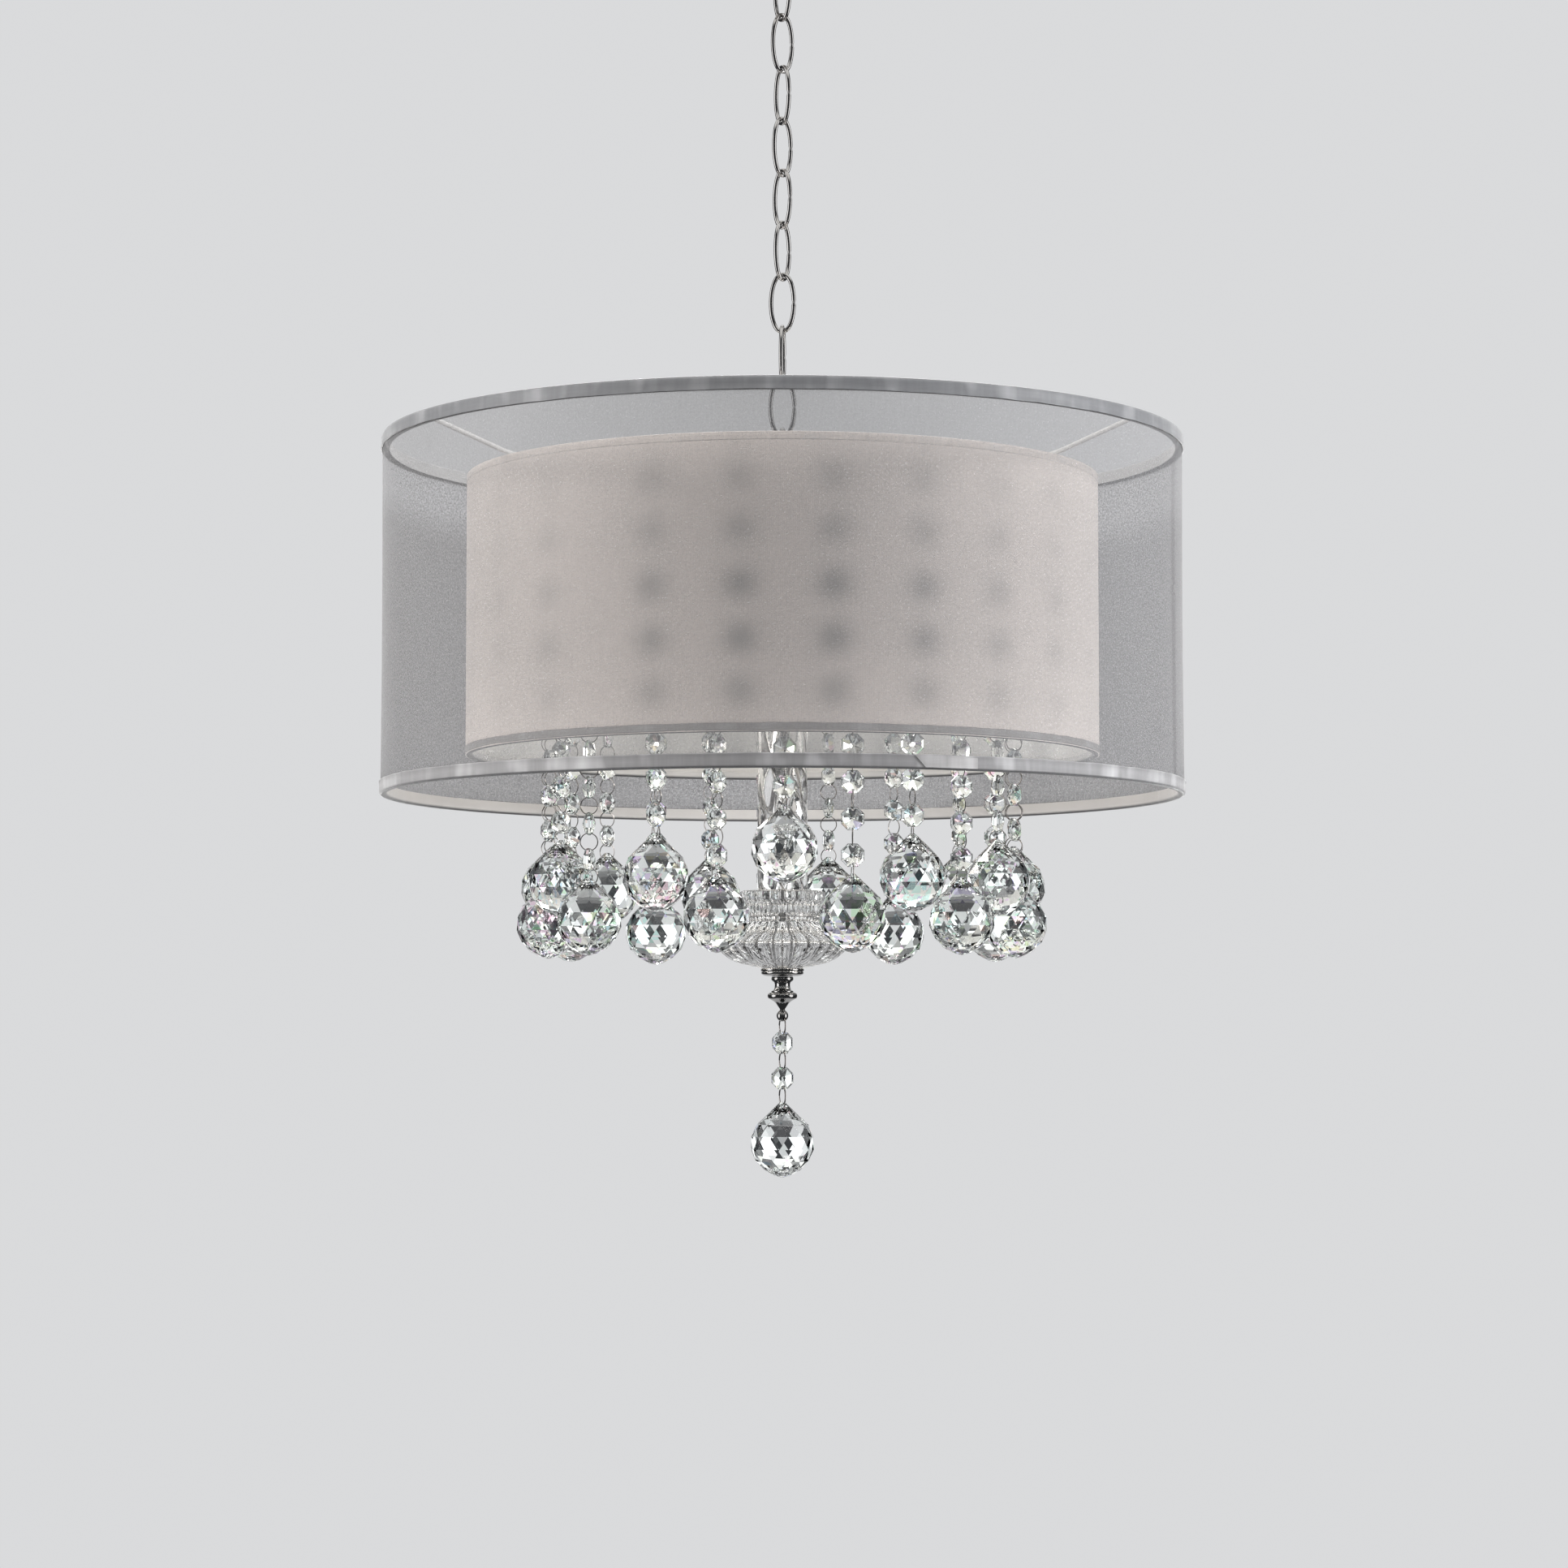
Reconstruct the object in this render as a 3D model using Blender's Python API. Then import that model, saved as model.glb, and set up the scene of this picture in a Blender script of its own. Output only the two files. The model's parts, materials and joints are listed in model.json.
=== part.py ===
"""Crystal chandelier with two drum shades, hung on a chain from a ceiling canopy.

Metres, +Z up. The origin is the centre of the ceiling face, and the viewer looks along +Y.
"""

import math

import bmesh
import bpy
from mathutils import Matrix, Vector

# Fits
CLEARANCE = 0.0003

# Ceiling end
CROSSBAR_LENGTH = 0.100
CROSSBAR_WIDTH = 0.020
CROSSBAR_THICKNESS = 0.0025
SLOT_SPACING = 0.070
SLOT_LENGTH = 0.014
SLOT_WIDTH = 0.005
CANOPY_RADIUS = 0.0635
CANOPY_HEIGHT = 0.025
CANOPY_WALL = 0.0012
CANOPY_EDGE_ROUND = 0.011
NIPPLE_RADIUS = 0.005
COLLAR_RADIUS = 0.011
COLLAR_HEIGHT = 0.009
CANOPY_LOOP_WIRE_RADIUS = 0.002
CANOPY_LOOP_INNER_RADIUS = 0.0075
LOOP_ROOT = 0.001
CANOPY_LOOP_YAW = 37
BUSHING_OFFSET = 0.027
BUSHING_RADIUS = 0.0055
BUSHING_FLANGE_RADIUS = 0.0075
BUSHING_BORE_RADIUS = 0.0035
BUSHING_FLANGE_HEIGHT = 0.002

# Chain
LINK_YAWS = (-53, 37, -57, 46, -50, 56, -17, 83, 0)
LINK_PITCH = 0.0337
LINK_WIDTH = 0.018
LINK_WIRE_RADIUS = 0.0014

# Fixture loop and its rod
FIXTURE_LOOP_WIRE_RADIUS = 0.002
FIXTURE_LOOP_INNER_RADIUS = 0.008
FIXTURE_COLLAR_RADIUS = 0.0075
FIXTURE_COLLAR_HEIGHT = 0.008
ROD_RADIUS = 0.005
ROD_LOWER_RADIUS = 0.003
ROD_NUT_RADIUS = 0.008
ROD_NUT_HEIGHT = 0.006

# Shades and their wire frames
OUTER_SHADE_RADIUS = 0.254
OUTER_SHADE_HEIGHT = 0.2266
INNER_SHADE_RADIUS = 0.2004
INNER_SHADE_HEIGHT = 0.1774
SHADE_STEP = 0.024
SHADE_CLOTH = 0.0008
HEM_RISE = 0.002
FRAME_WIRE_RADIUS = 0.0015
FRAME_ARM_AZIMUTHS = (-60, 60, 180)
ARM_BEND_INSET = 0.010
HUB_RADIUS = 0.014
HUB_THICKNESS = 0.002

# Crystal frame, and the hooks that the strands hang on
STRAND_RING_RADIUS = 0.148
CRYSTAL_PLATE_WIDTH = 0.010
CRYSTAL_PLATE_THICKNESS = 0.002
SPOKE_WIDTH = 0.007
SPOKE_AZIMUTHS = (30, 150, 270)
HOOK_DROP = 0.0058
HOOK_WIRE_RADIUS = 0.0006
HOOK_REACH = 0.0022
HOOK_TIP_HEIGHT = 0.0016

# Crystal beads, wire rings and balls
BEAD_ACROSS = 0.014
BEAD_THICKNESS = 0.008
BEAD_PITCH = 0.022
BEAD_HOLE_INSET = 0.00175
BEAD_HOLE_RADIUS = 0.0011
WIRE_RING_RADIUS = 0.00575
WIRE_RADIUS = 0.0004
BALL_RADIUS = 0.0203
BALL_TOP = 0.0260
BALL_BOTTOM = 0.0215
BALL_NECK = 0.0026
LONG_BALL_DROP = 0.2725
SHORT_BALL_DROP = 0.2475
FRONT_BALL_DROP = 0.2315
LONG_BEADS = 11
SHORT_BEADS = 10
FRONT_BEADS = 9
OPEN_RINGS = 4

# Azimuths run from the front, positive to the right. A yaw of 0 turns a strand's beads to the front.
STRANDS = (
    ("front", 0.5, 5),
    ("long", 16.5, 0),
    ("short", 32, 10),
    ("long", 47.5, 25),
    ("short", 64, 70),
    ("long", 79.5, 60),
    ("short", 96, 80),
    ("long", 112, 15),
    ("short", 128.5, 55),
    ("long", 150, 35),
    ("short", 168, 75),
    ("long", 184, 10),
    ("short", 199, 50),
    ("long", 214.5, 20),
    ("short", 231, 65),
    ("long", 247, 45),
    ("short", 262, 85),
    ("long", 277, 60),
    ("short", 292, 50),
    ("long", 307, 90),
    ("short", 329, 35),
    ("long", 344.6, 35),
)

# Lamp cluster
LAMP_AZIMUTHS = (48, 228)
LAMP_CIRCLE_RADIUS = 0.066
LAMP_BODY_DROP = 0.1213
LAMP_BODY_RADIUS = 0.022
LAMP_BODY_HEIGHT = 0.025
LAMP_BODY_EDGE = 0.005
LAMP_CUP_RADIUS = 0.013
LAMP_CUP_HEIGHT = 0.004
SOCKET_RADIUS = 0.011
SOCKET_HEIGHT = 0.026
SOCKET_BORE_DEPTH = 0.016
BULB_BASE_RADIUS = 0.0065
BULB_RADIUS = 0.0175
BULB_HEIGHT = 0.068

# Glass column, crown and bowl
COLUMN_RADIUS = 0.0150
COLUMN_BORE_RADIUS = 0.010
COLUMN_LENGTH = 0.1096
COLUMN_FLUTE_DEPTH = 0.0010
COLUMN_TWIST = 120
CROWN_RIM_RADIUS = 0.0265
CROWN_RIM_HEIGHT = 0.007
CROWN_BAND_RADIUS = 0.0235
CROWN_HEIGHT = 0.0197
CROWN_SCALLOP_DEPTH = 0.0008
BOWL_RADIUS = 0.0411
BOWL_NECK_RADIUS = 0.0225
BOWL_BASE_RADIUS = 0.014
BOWL_HEIGHT = 0.0285
BOWL_WALL = 0.003
BOWL_RIB_DEPTH = 0.0008
BOWL_RIBS = 12

# Base cap, finial and drop
BASE_CAP_RADIUS = 0.01375
BASE_CAP_HEIGHT = 0.005
FINIAL_SPOOL_RADIUS = 0.007
FINIAL_WAIST_RADIUS = 0.00485
FINIAL_DISC_RADIUS = 0.0095
FINIAL_TIP_RADIUS = 0.0015
FINIAL_HEIGHT = 0.0283
FINIAL_EYE_RADIUS = 0.00375
FINIAL_EYE_HOLE_RADIUS = 0.0013
DROP_RING_HEIGHT = 0.0062
DROP_RING_WIDTH = 0.0050
DROP_WIRE_RADIUS = 0.00045
DROP_PITCH = 0.0223
DROP_YAW = 25

# Faceting of the solids
SHADE_SEGMENTS = 48
TURNED_SEGMENTS = 24
SMALL_SEGMENTS = 12
WIRE_SIDES = 6
FINE_SIDES = 4


def material(name, color, roughness, metallic=0.0, transmission=0.0, alpha=1.0):
    """A Principled material, made once for each name."""
    found = bpy.data.materials.get(name)
    if found:
        return found
    made = bpy.data.materials.new(name)
    made.use_nodes = True
    made.diffuse_color = (*color, alpha)
    shader = made.node_tree.nodes["Principled BSDF"]
    shader.inputs["Base Color"].default_value = (*color, 1.0)
    shader.inputs["Roughness"].default_value = roughness
    shader.inputs["Metallic"].default_value = metallic
    shader.inputs["Transmission Weight"].default_value = transmission
    shader.inputs["Alpha"].default_value = alpha
    return made


def nickel():
    return material("polished_nickel", (0.62, 0.60, 0.58), 0.12, metallic=1.0)


def frame_wire():
    return material("white_frame_wire", (0.78, 0.77, 0.75), 0.35)


def steel():
    return material("plated_steel", (0.55, 0.55, 0.56), 0.35, metallic=1.0)


def crystal():
    return material("cut_crystal", (0.93, 0.97, 0.98), 0.02, transmission=0.9)


def pressed_glass():
    return material("pressed_glass", (0.90, 0.92, 0.93), 0.08, transmission=0.8)


def organza():
    return material("outer_organza", (0.62, 0.63, 0.64), 0.6, alpha=0.45)


def lining():
    return material("inner_lining", (0.66, 0.62, 0.59), 0.8)


def socket_plastic():
    return material("socket_plastic", (0.86, 0.85, 0.82), 0.5)


def bulb_glass():
    return material("bulb_glass", (0.95, 0.93, 0.88), 0.25)


def bushing_nylon():
    return material("bushing_nylon", (0.80, 0.80, 0.78), 0.5)


def finished(bm, name):
    """The mesh of a bmesh, with its faces turned outwards and its round faces smooth."""
    bmesh.ops.recalc_face_normals(bm, faces=bm.faces)
    mesh = bpy.data.meshes.new(name)
    bm.to_mesh(mesh)
    bm.free()
    mesh.shade_smooth()
    mesh.set_sharp_from_angle(angle=math.radians(35))
    return mesh


def place(name, mesh, finish, location=(0, 0, 0), yaw=0.0, parent=None):
    """A named object at its world place, carried by its parent."""
    thing = bpy.data.objects.new(name, mesh)
    bpy.context.scene.collection.objects.link(thing)
    thing.location = location
    thing.rotation_euler = (0, 0, math.radians(yaw))
    if finish:
        mesh.materials.append(finish)
    if parent:
        bpy.context.view_layer.update()
        thing.parent = parent
        thing.matrix_parent_inverse = parent.matrix_world.inverted()
    return thing


def empty(name, location, parent=None):
    """An empty on a joint's axis."""
    return place(name, None, None, location=location, parent=parent)


def combine(thing, helper_mesh, operation, name):
    """A Boolean of the object with a hidden helper that stands at the same place."""
    helper = place(name, helper_mesh, None)
    helper.matrix_world = thing.matrix_world.copy()
    helper.hide_render = True
    helper.display_type = "WIRE"
    modifier = thing.modifiers.new(name, "BOOLEAN")
    modifier.object = helper
    modifier.operation = operation
    modifier.solver = "EXACT"


def around(radius, azimuth, height=0.0):
    """The point at this azimuth from the front, positive to the right."""
    angle = math.radians(azimuth)
    return Vector((radius * math.sin(angle), -radius * math.cos(angle), height))


def add_turned(bm, profile, segments, center=(0, 0, 0), flute=0.0, flute_from=0.0, twist=0.0):
    """A turned shape from a profile of (radius, height) points.

    The profile closes on itself, or on the axis at both ends. Flutes push every other column outwards
    beyond flute_from, and a twist in degrees turns the columns from the profile's top to its bottom.
    """
    heights = [height for _, height in profile]
    top, span = max(heights), max(heights) - min(heights)
    rings = []
    for radius, height in profile:
        if radius == 0:
            rings.append([bm.verts.new(Vector(center) + Vector((0, 0, height)))])
            continue
        turn = math.radians(twist) * (top - height) / span
        ring = []
        for step in range(segments):
            reach = radius + (flute if step % 2 and radius > flute_from else 0.0)
            angle = 2 * math.pi * step / segments + turn
            spot = Vector((reach * math.cos(angle), reach * math.sin(angle), height))
            ring.append(bm.verts.new(Vector(center) + spot))
        rings.append(ring)
    closes = len(rings[0]) > 1
    pairs = list(zip(rings, rings[1:] + rings[:1] if closes else rings[1:]))
    for first, second in pairs:
        for step in range(segments):
            after = (step + 1) % segments
            corners = [first[step % len(first)], first[after % len(first)]]
            corners += [second[after % len(second)], second[step % len(second)]]
            bm.faces.new(list(dict.fromkeys(corners)))


def add_tube(bm, points, radius, sides, closed=False, normal=None):
    """A tube of round section along points. A planar loop takes its plane's normal."""
    points = [Vector(point) for point in points]
    count = len(points)
    rings = []
    for index, point in enumerate(points):
        before = points[index - 1] if closed or index else point
        after = points[(index + 1) % count] if closed or index < count - 1 else point
        along = (after - before).normalized()
        side = Vector(normal) if normal else along.orthogonal().normalized()
        outward = side.cross(along).normalized()
        if not normal and rings:
            outward = (last_outward - along * last_outward.dot(along)).normalized()
        side = along.cross(outward)
        last_outward = outward
        ring = []
        for step in range(sides):
            angle = 2 * math.pi * step / sides
            spoke = outward * math.cos(angle) + side * math.sin(angle)
            ring.append(bm.verts.new(point + radius * spoke))
        rings.append(ring)
    for first, second in zip(rings, rings[1:] + rings[:1] if closed else rings[1:]):
        for step in range(sides):
            after = (step + 1) % sides
            bm.faces.new((first[step], first[after], second[after], second[step]))
    if not closed:
        bm.faces.new(rings[0])
        bm.faces.new(rings[-1])


def add_box(bm, low, high, turn=None):
    """A box between two corners, turned by a matrix about the origin."""
    size = Vector(high) - Vector(low)
    middle = (Vector(high) + Vector(low)) / 2
    matrix = Matrix.Translation(middle) @ Matrix.Diagonal((*size, 1.0))
    bmesh.ops.create_cube(bm, size=1.0, matrix=(turn or Matrix()) @ matrix)


def oval(half_width, half_height, steps, center=(0, 0, 0), yaw=0.0):
    """Points of an upright oval, in the plane that faces the viewer at a yaw of 0."""
    direction = Vector((math.cos(math.radians(yaw)), math.sin(math.radians(yaw)), 0))
    points = []
    for step in range(steps):
        angle = 2 * math.pi * step / steps
        across = direction * (half_width * math.cos(angle))
        points.append(Vector(center) + across + Vector((0, 0, half_height * math.sin(angle))))
    return points


def plane_normal(yaw):
    """The normal of an upright plane at this yaw."""
    return (-math.sin(math.radians(yaw)), math.cos(math.radians(yaw)), 0)


def turned_object(name, profile, segments, finish, location=(0, 0, 0), parent=None, **flutes):
    bm = bmesh.new()
    add_turned(bm, profile, segments, **flutes)
    return place(name, finished(bm, name), finish, location=location, parent=parent)


class Heights:
    """The levels that the pieces share, worked out from the ceiling down."""

    canopy_bottom = -CANOPY_HEIGHT
    collar_top = canopy_bottom - CLEARANCE
    collar_bottom = collar_top - COLLAR_HEIGHT
    canopy_loop_center = (
        collar_bottom + LOOP_ROOT - CANOPY_LOOP_INNER_RADIUS - 2 * CANOPY_LOOP_WIRE_RADIUS
    )
    chain_top = canopy_loop_center - CANOPY_LOOP_INNER_RADIUS
    chain_bottom = chain_top - LINK_PITCH * len(LINK_YAWS)
    fixture_loop_center = chain_bottom + CLEARANCE - FIXTURE_LOOP_INNER_RADIUS
    fixture_collar_top = (
        fixture_loop_center - FIXTURE_LOOP_INNER_RADIUS - 2 * FIXTURE_LOOP_WIRE_RADIUS + LOOP_ROOT
    )
    fixture_collar_bottom = fixture_collar_top - FIXTURE_COLLAR_HEIGHT
    outer_hub_top = fixture_collar_bottom - CLEARANCE
    outer_arm = outer_hub_top - HUB_THICKNESS / 2
    inner_arm = outer_arm - 2 * FRAME_WIRE_RADIUS - CLEARANCE
    inner_hub_top = inner_arm + FRAME_WIRE_RADIUS
    inner_hub_bottom = inner_arm - FRAME_WIRE_RADIUS
    inner_shade_top = inner_arm + HEM_RISE
    inner_shade_bottom = inner_shade_top - INNER_SHADE_HEIGHT
    outer_shade_top = inner_shade_top + SHADE_STEP
    outer_shade_bottom = outer_shade_top - OUTER_SHADE_HEIGHT
    crystal_plate_top = inner_hub_bottom - CLEARANCE
    crystal_plate_bottom = crystal_plate_top - CRYSTAL_PLATE_THICKNESS
    strand_pivot = crystal_plate_bottom - HOOK_DROP
    rod_nut_top = crystal_plate_bottom - CLEARANCE
    lamp_body_top = crystal_plate_bottom - LAMP_BODY_DROP
    lamp_body_bottom = lamp_body_top - LAMP_BODY_HEIGHT
    lamp_arm = lamp_body_bottom + LAMP_BODY_EDGE
    lamp_cup_top = lamp_arm + LAMP_CUP_HEIGHT / 2
    socket_bottom = lamp_cup_top + CLEARANCE
    socket_top = socket_bottom + SOCKET_HEIGHT
    column_top = lamp_body_bottom - CLEARANCE
    column_bottom = column_top - COLUMN_LENGTH
    crown_top = column_bottom - CLEARANCE
    crown_bottom = crown_top - CROWN_HEIGHT
    bowl_top = crown_bottom - CLEARANCE
    bowl_bottom = bowl_top - BOWL_HEIGHT
    base_cap_top = bowl_bottom - CLEARANCE
    base_cap_bottom = base_cap_top - BASE_CAP_HEIGHT
    finial_top = base_cap_bottom - CLEARANCE
    finial_bottom = finial_top - FINIAL_HEIGHT
    finial_eye = finial_bottom + FINIAL_EYE_RADIUS
    drop_ring_top_wire = finial_eye - FINIAL_EYE_HOLE_RADIUS + CLEARANCE + DROP_WIRE_RADIUS
    drop_ring_1 = drop_ring_top_wire - DROP_RING_HEIGHT + DROP_WIRE_RADIUS


def build_crossbar(root):
    bm = bmesh.new()
    half = Vector((CROSSBAR_LENGTH, CROSSBAR_WIDTH, 0)) / 2
    add_box(bm, (-half.x, -half.y, -CROSSBAR_THICKNESS), (half.x, half.y, 0))
    bar = place("crossbar", finished(bm, "crossbar"), steel(), parent=root)
    overrun = CROSSBAR_THICKNESS
    cutter = bmesh.new()
    hole = NIPPLE_RADIUS + CLEARANCE
    ends = (overrun, -CROSSBAR_THICKNESS - overrun)
    profile = [(0, ends[0]), (hole, ends[0]), (hole, ends[1]), (0, ends[1])]
    add_turned(cutter, profile, SMALL_SEGMENTS)
    for side in (-1, 1):
        middle = side * SLOT_SPACING / 2
        low = (middle - SLOT_LENGTH / 2, -SLOT_WIDTH / 2, ends[1])
        high = (middle + SLOT_LENGTH / 2, SLOT_WIDTH / 2, ends[0])
        add_box(cutter, low, high)
    combine(bar, finished(cutter, "crossbar_cuts"), "DIFFERENCE", "crossbar_cuts")


def canopy_profile():
    """The canopy's dish: down its outer side, across the bottom to the nipple hole, and back up inside."""
    hole = NIPPLE_RADIUS + CLEARANCE
    outer = []
    inner = []
    steps = 3
    for step in range(steps + 1):
        angle = math.pi / 2 * step / steps
        inward = CANOPY_EDGE_ROUND * (1 - math.cos(angle))
        down = CANOPY_EDGE_ROUND * (1 - math.sin(angle))
        outer.append((CANOPY_RADIUS - inward, Heights.canopy_bottom + down))
        thin = CANOPY_EDGE_ROUND - CANOPY_WALL
        inner_radius = CANOPY_RADIUS - CANOPY_EDGE_ROUND + thin * math.cos(angle)
        inner_height = Heights.canopy_bottom + CANOPY_EDGE_ROUND - thin * math.sin(angle)
        inner.append((inner_radius, inner_height))
    rim = [(CANOPY_RADIUS - CANOPY_WALL, 0), (CANOPY_RADIUS, 0)]
    bottom = [(hole, Heights.canopy_bottom), (hole, Heights.canopy_bottom + CANOPY_WALL)]
    return rim[1:] + outer + bottom + inner[::-1] + rim[:1]


def build_canopy(root):
    canopy = turned_object("canopy", canopy_profile(), TURNED_SEGMENTS, nickel(), parent=root)
    cutter = bmesh.new()
    hole = BUSHING_RADIUS + CLEARANCE
    top, bottom = Heights.canopy_bottom + 2 * CANOPY_WALL, Heights.canopy_bottom - CANOPY_WALL
    profile = [(0, top), (hole, top), (hole, bottom), (0, bottom)]
    add_turned(cutter, profile, SMALL_SEGMENTS, center=(BUSHING_OFFSET, 0, 0))
    combine(canopy, finished(cutter, "bushing_hole"), "DIFFERENCE", "bushing_hole")


def build_cord_bushing(root):
    flange_top = Heights.canopy_bottom - CLEARANCE
    flange_bottom = flange_top - BUSHING_FLANGE_HEIGHT
    top = Heights.canopy_bottom + CANOPY_WALL + BUSHING_FLANGE_HEIGHT
    profile = [
        (BUSHING_BORE_RADIUS, top),
        (BUSHING_RADIUS, top),
        (BUSHING_RADIUS, flange_top),
        (BUSHING_FLANGE_RADIUS, flange_top),
        (BUSHING_FLANGE_RADIUS, flange_bottom),
        (BUSHING_BORE_RADIUS, flange_bottom),
    ]
    place_at = (BUSHING_OFFSET, 0, 0)
    turned_object("cord_bushing", profile, SMALL_SEGMENTS, bushing_nylon(), place_at, root)


def add_loop(bm, inner_radius, wire_radius, center, yaw):
    reach = inner_radius + wire_radius
    points = oval(reach, reach, TURNED_SEGMENTS - FINE_SIDES * 2, center, yaw)
    add_tube(bm, points, wire_radius, WIRE_SIDES, closed=True, normal=plane_normal(yaw))


def build_canopy_loop(root):
    """The screw collar that holds the canopy up, with its threaded nipple and hanging loop."""
    profile = [
        (0, -CLEARANCE),
        (NIPPLE_RADIUS, -CLEARANCE),
        (NIPPLE_RADIUS, Heights.collar_top),
        (COLLAR_RADIUS, Heights.collar_top),
        (COLLAR_RADIUS, Heights.collar_bottom),
        (0, Heights.collar_bottom),
    ]
    loop = turned_object("canopy_loop", profile, SMALL_SEGMENTS, nickel(), parent=root)
    bm = bmesh.new()
    center = (0, 0, Heights.canopy_loop_center)
    add_loop(bm, CANOPY_LOOP_INNER_RADIUS, CANOPY_LOOP_WIRE_RADIUS, center, CANOPY_LOOP_YAW)
    combine(loop, finished(bm, "canopy_loop_ring"), "UNION", "canopy_loop_ring")


def link_contact(index):
    """The height where the link of this index, counted from 0, rests on what is above it."""
    return Heights.chain_top - LINK_PITCH * index


def link_pivot(index):
    """The middle of the wire that the link of this index hangs on."""
    wire = CANOPY_LOOP_WIRE_RADIUS if index == 0 else LINK_WIRE_RADIUS
    return link_contact(index) - wire


def link_points(index):
    """A link's centre line, from its pivot: two half circles joined by straight sides."""
    half_width = LINK_WIDTH / 2 - LINK_WIRE_RADIUS
    top = link_contact(index) + CLEARANCE + LINK_WIRE_RADIUS - half_width
    bottom = link_contact(index + 1) - LINK_WIRE_RADIUS + half_width
    steps = 6
    points = []
    for middle, start in ((top, 0.0), (bottom, math.pi)):
        for step in range(steps + 1):
            angle = start + math.pi * step / steps
            height = middle + half_width * math.sin(angle) - link_pivot(index)
            points.append((half_width * math.cos(angle), 0, height))
    return points


def build_chain(root):
    parent = root
    for index, yaw in enumerate(LINK_YAWS):
        bm = bmesh.new()
        add_tube(bm, link_points(index), LINK_WIRE_RADIUS, WIRE_SIDES, closed=True, normal=(0, 1, 0))
        name = f"chain_link_{index + 1}"
        location = (0, 0, link_pivot(index))
        parent = place(name, finished(bm, name), nickel(), location, yaw, parent)
    return parent


def build_fixture_loop(parent):
    """The loop that the last link carries, with its collar. The whole light turns about that link's wire."""
    pivot = link_pivot(len(LINK_YAWS))
    top, bottom = Heights.fixture_collar_top - pivot, Heights.fixture_collar_bottom - pivot
    profile = [(0, top), (FIXTURE_COLLAR_RADIUS, top), (FIXTURE_COLLAR_RADIUS, bottom), (0, bottom)]
    loop = turned_object("fixture_loop", profile, SMALL_SEGMENTS, nickel(), (0, 0, pivot), parent)
    bm = bmesh.new()
    center = (0, 0, Heights.fixture_loop_center - pivot)
    yaw = LINK_YAWS[-1] + 90
    add_loop(bm, FIXTURE_LOOP_INNER_RADIUS, FIXTURE_LOOP_WIRE_RADIUS, center, yaw)
    bpy.context.view_layer.update()
    combine(loop, finished(bm, "fixture_loop_ring"), "UNION", "fixture_loop_ring")
    return loop


def build_stem_rod(pendant):
    """The threaded rod that clamps the hubs, the lamp body and the glass stack together."""
    nut_bottom = Heights.rod_nut_top - ROD_NUT_HEIGHT
    profile = [
        (0, Heights.outer_hub_top),
        (ROD_RADIUS, Heights.outer_hub_top),
        (ROD_RADIUS, Heights.rod_nut_top),
        (ROD_NUT_RADIUS, Heights.rod_nut_top),
        (ROD_NUT_RADIUS, nut_bottom),
        (ROD_RADIUS, nut_bottom),
        (ROD_RADIUS, Heights.lamp_body_bottom),
        (ROD_LOWER_RADIUS, Heights.lamp_body_bottom),
        (ROD_LOWER_RADIUS, Heights.base_cap_bottom),
        (0, Heights.base_cap_bottom),
    ]
    turned_object("stem_rod", profile, SMALL_SEGMENTS, steel(), parent=pendant)


def add_wire_ring(bm, shade_radius, height):
    """A wire ring just inside a shade's cloth, with its facets in line with the shade's."""
    middle = shade_radius - SHADE_CLOTH - CLEARANCE - FRAME_WIRE_RADIUS
    profile = []
    for step in range(FINE_SIDES):
        angle = 2 * math.pi * step / FINE_SIDES
        out, up = FRAME_WIRE_RADIUS * math.cos(angle), FRAME_WIRE_RADIUS * math.sin(angle)
        profile.append((middle + out, height - up))
    add_turned(bm, profile, SHADE_SEGMENTS)
    return middle


def add_hub(bm, top, bottom):
    hole = ROD_RADIUS + CLEARANCE
    profile = [(hole, top), (HUB_RADIUS, top), (HUB_RADIUS, bottom), (hole, bottom)]
    add_turned(bm, profile, SMALL_SEGMENTS)


def build_outer_shade_frame(pendant):
    """Top ring of the outer shade, with three arms that step down to its hub over the inner shade."""
    ring_height = Heights.outer_shade_top - HEM_RISE
    bm = bmesh.new()
    ring_radius = add_wire_ring(bm, OUTER_SHADE_RADIUS, ring_height)
    add_hub(bm, Heights.outer_hub_top, Heights.outer_hub_top - HUB_THICKNESS)
    frame = place("outer_shade_frame", finished(bm, "outer_shade_frame"), frame_wire(), parent=pendant)
    arms = bmesh.new()
    for azimuth in FRAME_ARM_AZIMUTHS:
        route = [
            around(HUB_RADIUS - FRAME_WIRE_RADIUS, azimuth, Heights.outer_arm),
            around(INNER_SHADE_RADIUS - ARM_BEND_INSET, azimuth, Heights.outer_arm),
            around(ring_radius, azimuth, ring_height),
        ]
        add_tube(arms, route, FRAME_WIRE_RADIUS, WIRE_SIDES)
    combine(frame, finished(arms, "outer_frame_arms"), "UNION", "outer_frame_arms")


def build_inner_shade_frame(pendant):
    """Top ring of the inner shade, with three level arms and a hub under the outer one."""
    bm = bmesh.new()
    ring_radius = add_wire_ring(bm, INNER_SHADE_RADIUS, Heights.inner_arm)
    add_hub(bm, Heights.inner_hub_top, Heights.inner_hub_bottom)
    frame = place("inner_shade_frame", finished(bm, "inner_shade_frame"), frame_wire(), parent=pendant)
    arms = bmesh.new()
    for azimuth in FRAME_ARM_AZIMUTHS:
        start = around(HUB_RADIUS - FRAME_WIRE_RADIUS, azimuth, Heights.inner_arm)
        end = around(ring_radius, azimuth, Heights.inner_arm)
        add_tube(arms, [start, end], FRAME_WIRE_RADIUS, WIRE_SIDES)
    combine(frame, finished(arms, "inner_frame_arms"), "UNION", "inner_frame_arms")


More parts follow.
